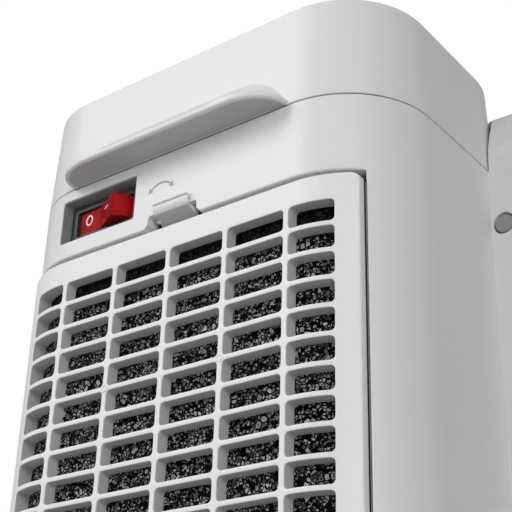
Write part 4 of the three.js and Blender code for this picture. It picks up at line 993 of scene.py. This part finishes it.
def flange_screws():
    """Pan-head screws at the bottom of the flange's recesses, each with a cross in its head."""
    top = FLANGE_Y - RECESS_DEPTH + 3.0 + 0.3
    crown = [(3.9 * math.cos(a), top - 1.0 + math.sin(a)) for a in np.radians((80, 60, 40, 20, 0))]
    profile = [(POLE, top)] + crown + [(4.0, top - 2.7), (2.0, top - 3.0), (2.0, -63.5), (POLE, -63.9)]
    for number in range(1, 7):
        x, _, z = middle_of(f"flange_screw_{number}")
        made = solid("screw", skin(turned(profile, x, z, 32, True)))
        for width, height in ((3.6, 0.8), (0.8, 3.6)):
            slot = box_block("cross", (x - width / 2, top - 1.3, z - height / 2),
                             (x + width / 2, top + 1, z + height / 2))
            combine(made, [slot], "DIFFERENCE")
        dress(made, "column", STEEL, [f"flange_screw_{number}"])


def screw_plugs():
    """Plugs over the flange's screws: a disc a little below the flange, with a gap round it and a stem that
    rests on the screw's head."""
    face, back, foot = FLANGE_Y - 0.5, FLANGE_Y - 2.3, FLANGE_Y - 4.7
    profile = [(POLE, face), (PLUG_RADIUS - 0.3, face), (PLUG_RADIUS, face - 0.3), (PLUG_RADIUS, back),
               (2.2, back), (2.2, foot), (POLE, foot)]
    for side in (-1, 1):
        for z in SCREW_ROWS:
            made = solid("screw_plug", skin(turned(profile, side * SCREW_X, z, 40, True)))
            dress(made, "column", SHADE_AND_PLUG_GREY)


def header_ledges():
    """Ledges of the housing behind the gap over the cover, on both sides of the latch's notch."""
    low, high = COVER_TOP - 2.1, OPENING_TOP + 1.9
    for sign in (-1, 1):
        xs = sign * np.linspace(NOTCH_HALF + 4, OPENING_HALF - 8, 25)
        near, far = rear_face(xs, RETURN_DEPTH - 0.4), rear_face(xs, RETURN_DEPTH + 1.6)
        rings = [[(x, front, low), (x, front, high), (x, back, high), (x, back, low)]
                 for x, front, back in zip(xs, near, far)]
        dress(solid("header_ledge", skin(rings)), "column", SHELL_WHITE)


cover_marks()
flange_screws()
screw_plugs()
header_ledges()


# Foam
def foam_band():
    """Foam sheet behind the cover: follows the column's curve at an even thickness."""
    node_low, node_high = FOAM_SPAN
    xs = np.linspace(-FOAM_HALF, FOAM_HALF, 121)
    outer, inner = rear_face(xs, FOAM_INSET), rear_face(xs, FOAM_INSET + FOAM_THICK)
    rings = [[(x, near, node_low), (x, near, node_high), (x, far, node_high), (x, far, node_low)]
             for x, near, far in zip(xs, outer, inner)]
    return dress(solid("foam_sheet", skin(rings)), "column", FOAM, ["filter_foam"])


foam_band()


def cover_shade_strips():
    """Black rubber strips down both sides of the cover, just under the housing's face: painted shade, dark
    strips set in the gap where there is only shade.
    """
    for sign in (-1, 1):
        near, far = sign * (COVER_HALF - 0.3), sign * (OPENING_HALF - 0.05)
        top = rear_face(np.array([far]))[0] - 0.25
        low, high = COVER_BOTTOM + 2, COVER_TOP - 1.6
        corners = ((top - 3, low), (top, low), (top, high), (top - 3, high))
        rings = [[(near, y, z), (far, y, z)] for y, z in corners]
        # Painted shade: a dark strip in the gap beside the cover, where there is only shade
        strip = solid("cover_shade_strip", skin(rings, closed=True))
        dress(strip, "cover", RUBBER)


cover_shade_strips()


# Outlet grille and heating elements
def outlet_grille():
    """Grille of the outlet: a rounded plate with a lip behind the panel and two columns of slots whose edges
    are rounded at the front."""

    def plate(grow):
        half = OUTLET_HALF - GRILLE_FIT + grow
        return rounded_rectangle(-half, half, OUTLET_LOW + GRILLE_FIT - grow, OUTLET_HIGH - GRILLE_FIT + grow,
                                 OUTLET_RADIUS + grow, OUTLET_RADIUS + grow, 10)
    body = rear_cutter("grille_plate", plate, [(GRILLE_FACE, -0.8), (GRILLE_FACE + 0.25, -0.25),
                                               (GRILLE_FACE + 0.8, 0.0), (GRILLE_BACK, 0.0)])
    lip = rear_cutter("grille_lip", plate, [(LIP_FRONT, GRILLE_LIP), (LIP_BACK, GRILLE_LIP)])
    combine(body, [lip], "UNION")
    low, high = OUTLET_LOW + GRILLE_FIT + GRILLE_FRAME, OUTLET_HIGH - GRILLE_FIT - GRILLE_FRAME
    pitch = (high - low) / GRILLE_ROWS
    bar = pitch * GRILLE_BAR_SHARE
    inner, outer = GRILLE_SPINE / 2, OUTLET_HALF - GRILLE_FIT - GRILLE_FRAME
    depths = ((GRILLE_FACE - 1, 0.8), (GRILLE_FACE, 0.8), (GRILLE_FACE + 0.25, 0.25),
              (GRILLE_FACE + 0.8, 0.0), (GRILLE_BACK + 1, 0.0))
    shapes = []
    for row in range(GRILLE_ROWS):
        foot = low + row * pitch + bar / 2
        for left, right in ((-outer, -inner), (inner, outer)):
            shapes.append(skin([facing(rounded_rectangle(
                left - grow, right + grow, foot - grow, foot + pitch - bar + grow,
                1.5 + grow, 1.5 + grow, 4), y) for y, grow in depths]))
    combine(body, [solid("grille_slots", joined(shapes))], "DIFFERENCE")
    return dress(body, "column", DARK_PLASTIC, ["outlet_grille"])


def heating_element(name, low, high):
    """Heating element: upright electrode strips with a folded fin between each pair."""
    strips = np.linspace(-ELEMENT_HALF + ELEMENT_STRIP / 2, ELEMENT_HALF - ELEMENT_STRIP / 2, 7)
    shapes = []
    for x in strips:
        half = ELEMENT_STRIP / 2
        outline = rounded_rectangle(x - half, x + half, ELEMENT_FRONT, ELEMENT_BACK, 0.3, 0.3, 2)
        shapes.append(skin([level(outline, low), level(outline, high)]))
    folds = int((high - low) / (FIN_PITCH / 2)) - 1
    fold_z = low + 1.0 + np.arange(folds + 1) * FIN_PITCH / 2
    half_sheet = FIN_SHEET / 2
    for left, right in zip(strips, strips[1:]):
        near, far = left + ELEMENT_STRIP / 2 - 0.05, right - ELEMENT_STRIP / 2 + 0.05
        rings = []
        for count, z in enumerate(fold_z):
            x = near if count % 2 == 0 else far
            rings.append([(x, ELEMENT_FRONT + 0.6, z - half_sheet), (x, ELEMENT_FRONT + 0.6, z + half_sheet),
                          (x, ELEMENT_BACK - 0.6, z + half_sheet), (x, ELEMENT_BACK - 0.6, z - half_sheet)])
        shapes.append(skin(rings))
    made = solid(name + "_fins", joined(shapes))
    return dress(made, "column", ALUMINIUM, [name], sharp=20)


outlet_grille()
for element_name, (element_low, element_high) in ELEMENT_SPANS.items():
    heating_element(element_name, element_low, element_high)


# Controls
def knob(name, body, x):
    """Dial: a fluted skirt under a waisted grip with a rounded top, and a line on the grip's end."""
    skirt_top = KNOB_Z + KNOB_SKIRT
    profile = [(POLE, KNOB_Z), (KNOB_RADIUS - 0.8, KNOB_Z), (KNOB_RADIUS - 0.2, KNOB_Z + 0.3),
               (KNOB_RADIUS, KNOB_Z + 0.9), (KNOB_RADIUS - 0.25, skirt_top - 1.2),
               (KNOB_RADIUS - 0.9, skirt_top - 0.4), (KNOB_RADIUS - 2.0, skirt_top), (POLE, skirt_top + 0.4)]
    rings = turned(profile, x, KNOB_Y, 180)
    flute = 0.35 * (1 - np.cos(FLUTES * np.linspace(0, 2 * np.pi, 180, endpoint=False))) / 2
    centre = np.array([x, KNOB_Y])
    for ring in rings[2:6]:
        reach = ring[:, :2] - centre
        size = np.linalg.norm(reach, axis=1)
        ring[:, :2] = centre + reach * (1 - flute / size)[:, None]
    made = solid(name + "_skirt", skin(rings))
    stem = solid("stem", skin(turned([(STEM_RADIUS, STEM_FOOT), (STEM_RADIUS, KNOB_Z + 1)], x, KNOB_Y, 32)))
    grip_rings = []
    waist = [(KNOB_Z + 2.0, 0.0), (skirt_top + 0.2, 0.0), (skirt_top + 1.4, 0.55), (skirt_top + 3.4, 0.75),
             (KNOB_TOP - 1.8, 0.45), (KNOB_TOP - 0.7, 0.75), (KNOB_TOP - 0.2, 1.3), (KNOB_TOP, 2.2)]
    for z, draw in waist:
        grip_rings.append(level(rounded_rectangle(
            x - KNOB_GRIP_HALF + draw, x + KNOB_GRIP_HALF - draw, KNOB_Y - KNOB_GRIP_REACH + draw,
            KNOB_Y + KNOB_GRIP_REACH - draw, 2.9 - draw / 2, 2.9 - draw / 2, 8), z))
    combine(made, [stem, solid("grip", skin(grip_rings))], "UNION")
    dress(made, body, KNOB_WHITE, [name])
    line = rounded_rectangle(x - 0.7, x + 0.7, KNOB_Y - KNOB_GRIP_REACH + 3.0, KNOB_Y - 4.0, 0.6, 0.6, 4)
    dress(solid(name + "_line", skin([level(line, KNOB_TOP - 0.1), level(line, KNOB_TOP + 0.08)])), body,
          GREY_INK)


def control_panel():
    """Plate in the cap's recess with rounded edges, a hole for the lens and one under each dial."""
    def plate(inset):
        return rounded_rectangle(-PANEL_HALF + 0.3 + inset, PANEL_HALF - 0.3 - inset,
                                 PANEL_FRONT + 0.3 + inset, PANEL_REAR - 0.3 - inset,
                                 3.7 - inset, 3.7 - inset, 8)
    made = solid("panel_plate", skin([level(plate(inset), z) for inset, z in
                                      arc_profile(PLATE_LOW, PLATE_HIGH, 0.35, 3)]))
    bores = ((-KNOB_X, STEM_RADIUS + 0.5), (0.0, LENS_RADIUS + 0.3), (KNOB_X, STEM_RADIUS + 0.5))
    holes = [solid("hole", skin(turned([(radius, PLATE_LOW - 2), (radius, PLATE_HIGH + 2)], x, KNOB_Y, 48)))
             for x, radius in bores]
    combine(made, holes, "DIFFERENCE")
    return dress(made, "column", DARK_PLASTIC, ["control_panel"])


def print_shape(outline):
    """Ink laid on the control panel: a flat shape from X, Y points."""
    rings = [level(outline, PLATE_HIGH - INK_UNDER), level(outline, PLATE_HIGH + INK_OVER)]
    made = solid("panel_print", skin(rings))
    dress(made, "column", WHITE_INK)


def dial_point(x, radius, degrees):
    """Point round a dial, clockwise from the front as seen from above."""
    turn = np.radians(degrees)
    return np.c_[x - radius * np.sin(turn), KNOB_Y - radius * np.cos(turn)]


def panel_prints():
    """Wedge and end ticks round the thermostat; dots, off ring, fan, one bar and two round the mode dial."""
    sweep = np.linspace(8, 262, 81)
    width = np.linspace(0.25, SCALE_WIDTH, 81)
    inner, outer = dial_point(KNOB_X, SCALE_RADIUS, sweep), dial_point(KNOB_X, SCALE_RADIUS + width, sweep)
    print_shape(np.vstack([inner, outer[::-1]]))
    for degrees in (0, 270):
        ends = np.vstack([dial_point(KNOB_X, radius, np.array([degrees - 1.6 * s, degrees + 1.6 * s]))[::s]
                          for radius, s in ((SCALE_RADIUS, 1), (SCALE_RADIUS + 3.6, -1))])
        print_shape(ends)
    for degrees in (0, 60, 120, 180):
        dot = dial_point(-KNOB_X, 21.4, np.array([float(degrees)]))[0]
        angle = np.linspace(0, 2 * np.pi, 24, endpoint=False)
        print_shape(dot + 0.7 * np.c_[np.cos(angle), np.sin(angle)])
    off = dial_point(-KNOB_X, 26.3, np.array([0.0]))[0]
    angle = np.linspace(0, 2 * np.pi, 40, endpoint=False)
    circle = np.c_[np.cos(angle), np.sin(angle)]
    low, high = PLATE_HIGH - INK_UNDER, PLATE_HIGH + INK_OVER
    corners = ((2.0, low), (2.0, high), (1.5, high), (1.5, low))
    rings = [level(off + radius * circle, z) for radius, z in corners]
    dress(solid("panel_print", skin(rings, closed=True)), "column", WHITE_INK)
    fan = dial_point(-KNOB_X, SYMBOL_RADIUS, np.array([60.0]))[0]
    for blade in range(3):
        start = np.radians(120 * blade)
        petal = np.radians(np.linspace(0, 360, 20, endpoint=False))
        shape = np.c_[1.7 + 1.3 * np.cos(petal), 0.85 * np.sin(petal) + 0.5 * np.cos(petal)]
        spin = np.array([[math.cos(start), math.sin(start)], [-math.sin(start), math.cos(start)]])
        print_shape(fan + shape @ spin)
    for degrees, count in ((120, 1), (180, 2)):
        place = dial_point(-KNOB_X, 26.6, np.array([float(degrees)]))[0]
        for bar in range(count):
            x = place[0] + 1.7 * (bar - (count - 1) / 2)
            print_shape(rounded_rectangle(x - 0.3, x + 0.3, place[1] - 1.9, place[1] + 1.9, 0.2, 0.2, 2))


def pilot_lens():
    """Red lens between the dials: a short stem under a low dome."""
    top = KNOB_Z - 0.8
    dome = [(LENS_RADIUS * math.cos(a), top + 0.8 * math.sin(a)) for a in np.radians((0, 25, 45, 65, 82))]
    profile = [(POLE, LENS_FOOT), (LENS_RADIUS, LENS_FOOT)] + dome + [(POLE, KNOB_Z)]
    made = solid("lens_dome", skin(turned(profile, 0.0, KNOB_Y, 40)))
    dress(made, "column", ROCKER_RED, ["pilot_lens"])


control_panel()
panel_prints()
pilot_lens()
knob("thermostat_knob", "thermostat_dial", KNOB_X)
knob("mode_knob", "mode_dial", -KNOB_X)


# Base
def base_profile(inset):
    """Radius and height pairs of the base's outer skin, or of a surface inset inside it: level round the hub,
    a quarter ellipse over the dome, then an upright rim."""
    angle = np.radians(np.linspace(90, 0, 25))
    dome = np.c_[BASE_FLAT + (BASE_RADIUS - BASE_FLAT - inset) * np.cos(angle),
                 BASE_SHOULDER + (BASE_TOP - BASE_SHOULDER - inset) * np.sin(angle)]
    return np.vstack([[HUB_RADIUS, BASE_TOP - inset], dome, [BASE_RADIUS - inset, BASE_RIM]])


def base_cover():
    """Domed shell of the base with a block and a seat for the cord's gland at the back."""
    outer, inner = base_profile(0.0), base_profile(BASE_WALL)
    rim = [[BASE_RADIUS - 0.2, BASE_RIM + 0.2], [BASE_RADIUS - 0.7, BASE_RIM]]
    outer[-1] = [BASE_RADIUS, BASE_RIM + 0.7]
    profile = np.vstack([outer, rim, inner[::-1]])
    made = solid("base_shell", skin(turned(profile, around=192), closed=True))
    hood = rounded_rectangle(-HOOD_HALF, HOOD_HALF, 6.3, 22.2, 1.0, 6.0, 8)
    block = solid("hood", skin([facing(hood, 104.3), facing(hood, HOOD_FACE)]))
    combine(made, [block], "UNION")
    seat = solid("seat", skin(turned([(7.8, HOOD_FACE), (7.8, 130)], 0.0, GLAND_Z, 64, True)))
    bore = solid("bore", skin(turned([(5.3, 100), (5.3, 130)], 0.0, GLAND_Z, 48, True)))
    combine(made, [seat, bore], "DIFFERENCE")
    return dress(made, "base", SHELL_WHITE, ["base_cover"])


def cable_gland():
    """Bushing where the cord goes in: a tube with a rounded flange, and grooves inside the base."""
    tube = [(5.0, 107.3), (5.0, 110.3), (4.5, 110.5), (4.5, 111.5), (5.0, 111.7), (5.0, 114.0), (4.5, 114.2),
            (4.5, 115.2), (5.0, 115.4), (5.0, 122.3)]
    flange = [(7.3, 122.3), (7.5, 122.5), (7.5, 123.6), (7.2, 124.2), (6.6, 124.6), (3.9, 124.6),
              (3.45, 124.4), (3.3, 123.9), (3.3, 107.3)]
    made = solid("gland", skin(turned(tube + flange, 0.0, GLAND_Z, 64, True), closed=True))
    return dress(made, "base", BLACK_PLASTIC, ["cable_gland"])


def turned_part(name, profile, body, material, edge):
    """Ring with softened edges about the column's axis, in place of the frame's faceted one."""
    made = solid(name + "_ring", skin(turned(softened(profile, edge), around=144), closed=True))
    return dress(made, body, material, [name])


def rubber_feet():
    """Feet with a rounded tread and a groove round the side, set into the base plate."""
    for number in range(1, 5):
        x, y, _ = middle_of(f"rubber_foot_{number}")
        profile = [(POLE, 0.35), (5.5, 0.35), (6.0, 0.0), (9.2, 0.0), (9.75, 0.2), (FOOT_RADIUS, 0.8),
                   (FOOT_RADIUS, 1.5), (9.6, 1.7), (9.6, 2.1), (FOOT_RADIUS, 2.3), (FOOT_RADIUS, FOOT_HEIGHT),
                   (POLE, FOOT_HEIGHT)]
        made = solid("foot", skin(turned(profile, x, y, 64)))
        dress(made, "base", RUBBER, [f"rubber_foot_{number}"])


base_cover()
cable_gland()
turned_part("slide_ring", [(60, 36.3), (72, 36.3), (72, 38.5), (60, 38.5)], "base", NYLON, 0.4)
turned_part("turntable", [(11, 30), (22, 30), (22, 38.8), (78, 38.8), (78, 43.7), (11, 43.7)], "column",
            DARK_PLASTIC, 0.8)
rubber_feet()


# Printed swing mark
def swing_mark():
    """Double-ended curved arrow printed beside the switch: an arc band with a triangle at each end."""
    centre, radius, half_width = np.array([6.5, 553.6]), 7.6, 0.42
    spread = math.radians(42)
    angle = np.linspace(math.pi / 2 - spread, math.pi / 2 + spread, 25)
    across = np.c_[np.cos(angle), np.sin(angle)]
    outer, inner = centre + (radius + half_width) * across, centre + (radius - half_width) * across
    shapes = [np.vstack([outer, inner[::-1]])]
    for sign in (-1, 1):
        turn = math.pi / 2 + sign * spread
        foot = centre + radius * np.array([math.cos(turn), math.sin(turn)])
        along = sign * np.array([-math.sin(turn), math.cos(turn)])
        side = np.array([math.cos(turn), math.sin(turn)])
        shapes.append(np.array([foot + 1.5 * side, foot + 2.3 * along, foot - 1.5 * side])[::sign])
    for number, outline in enumerate(shapes):
        rings = [facing(outline, REAR_Y - INK_UNDER), facing(outline, REAR_Y + INK_OVER)]
        made = solid(f"swing_mark_{number}", skin(rings))
        dress(made, "column", GREY_INK)


swing_mark()


# Camera, light and floor
def camera():
    """Camera behind, below and to the right of the column, from the fitted view."""
    yaw, pitch, roll = (math.radians(angle) for angle in (CAMERA_YAW, CAMERA_PITCH, CAMERA_ROLL))
    ahead = Vector((math.sin(yaw) * math.cos(pitch), -math.cos(yaw) * math.cos(pitch), math.sin(pitch)))
    level_right = ahead.cross(Vector((0, 0, 1))).normalized()
    level_up = level_right.cross(ahead)
    right = math.cos(roll) * level_right + math.sin(roll) * level_up
    up = -math.sin(roll) * level_right + math.cos(roll) * level_up
    place = Vector(CAMERA_PLACE) * MM
    data = bpy.data.cameras.new("camera")
    data.lens = CAMERA_LENS
    data.sensor_width = CAMERA_SENSOR
    data.clip_start = 0.01
    made = bpy.data.objects.new("camera", data)
    columns = (right, up, -ahead, place)
    made.matrix_world = Matrix([[c[i] for c in columns] for i in range(3)] + [[0, 0, 0, 1]])
    bpy.context.scene.collection.objects.link(made)
    bpy.context.scene.camera = made


def area_light(name, place, target, size, power):
    """Rectangular lamp at a place, turned to face a target."""
    data = bpy.data.lights.new(name, "AREA")
    data.shape = "RECTANGLE"
    data.size, data.size_y = size
    data.energy = power
    made = bpy.data.objects.new(name, data)
    place = Vector(place)
    turn = (Vector(target) - place).to_track_quat("-Z", "Y")
    made.matrix_world = Matrix.Translation(place) @ turn.to_matrix().to_4x4()
    bpy.context.scene.collection.objects.link(made)


def backdrop_world():
    """White to the camera, and a plain dome of even light to everything else."""
    world = bpy.data.worlds.new("studio")
    bpy.context.scene.world = world
    world.use_nodes = True
    tree = world.node_tree
    tree.nodes.clear()
    path = node(tree, "ShaderNodeLightPath")
    seen = node(tree, "ShaderNodeMath", [(0, path, "Is Camera Ray"), (1, path, "Is Transmission Ray")],
                operation="MAXIMUM")
    coords = node(tree, "ShaderNodeTexCoord")
    upward = node(tree, "ShaderNodeSeparateXYZ", [("Vector", coords, "Generated")])
    sky = ramp(tree, upward, "Z", [(0.0, grey(0.12)), (1.0, grey(0.44))])
    dome = node(tree, "ShaderNodeBackground", [("Color", sky, "Color")], Strength=1.0)
    white = node(tree, "ShaderNodeBackground", Color=linear("ffffff"), Strength=1.0)
    mix = node(tree, "ShaderNodeMixShader", [("Fac", seen, "Value"), (1, dome, "Background"),
                                             (2, white, "Background")])
    node(tree, "ShaderNodeOutputWorld", [("Surface", mix, "Shader")])


def floor():
    """Pale matt floor under the base: one large square."""
    outline = FLOOR_HALF * np.array([[-1, -1], [1, -1], [1, 1], [-1, 1]], float)
    made = bpy.data.objects.new("floor", mesh_of("floor", (level(outline, 0.0), [[0, 1, 2, 3]])))
    bpy.context.scene.collection.objects.link(made)
    made.data.materials.append(finish("pale_floor", "bababa", Roughness=0.9)[0])


bpy.context.scene.view_settings.view_transform = "Standard"
camera()
for light in LIGHTS:
    area_light(*light)
backdrop_world()
floor()

# CAD nodes that stay
NODE_FINISH = {
    "base_plate": DARK_PLASTIC, "ballast_ring": STEEL, "oscillation_motor": ZINC, "oscillation_crank": NYLON,
    "tip_switch": BLACK_PLASTIC, "tip_plunger": NYLON, "drive_arm": ZINC, "thermostat": ZINC,
    "mode_switch": BLACK_PLASTIC, "latch_pin": STEEL, "intake_guard": BLACK_PLASTIC, "duct_top": DARK_PLASTIC,
    "duct_floor": DARK_PLASTIC, "volute_wall": DARK_PLASTIC, "vortex_tongue": DARK_PLASTIC,
    "fan_rotor": BLACK_PLASTIC, "fan_shaft": STEEL, "top_bush": BRASS, "fan_motor": ZINC,
    "motor_bracket": STEEL, "heater_frame": MICA, "thermal_cutout": BRASS, "thermal_fuse": STEEL,
    "terminal_block": NYLON,
}
for name, material in NODE_FINISH.items():
    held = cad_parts[name]
    held.data.materials.clear()
    held.data.materials.append(material)
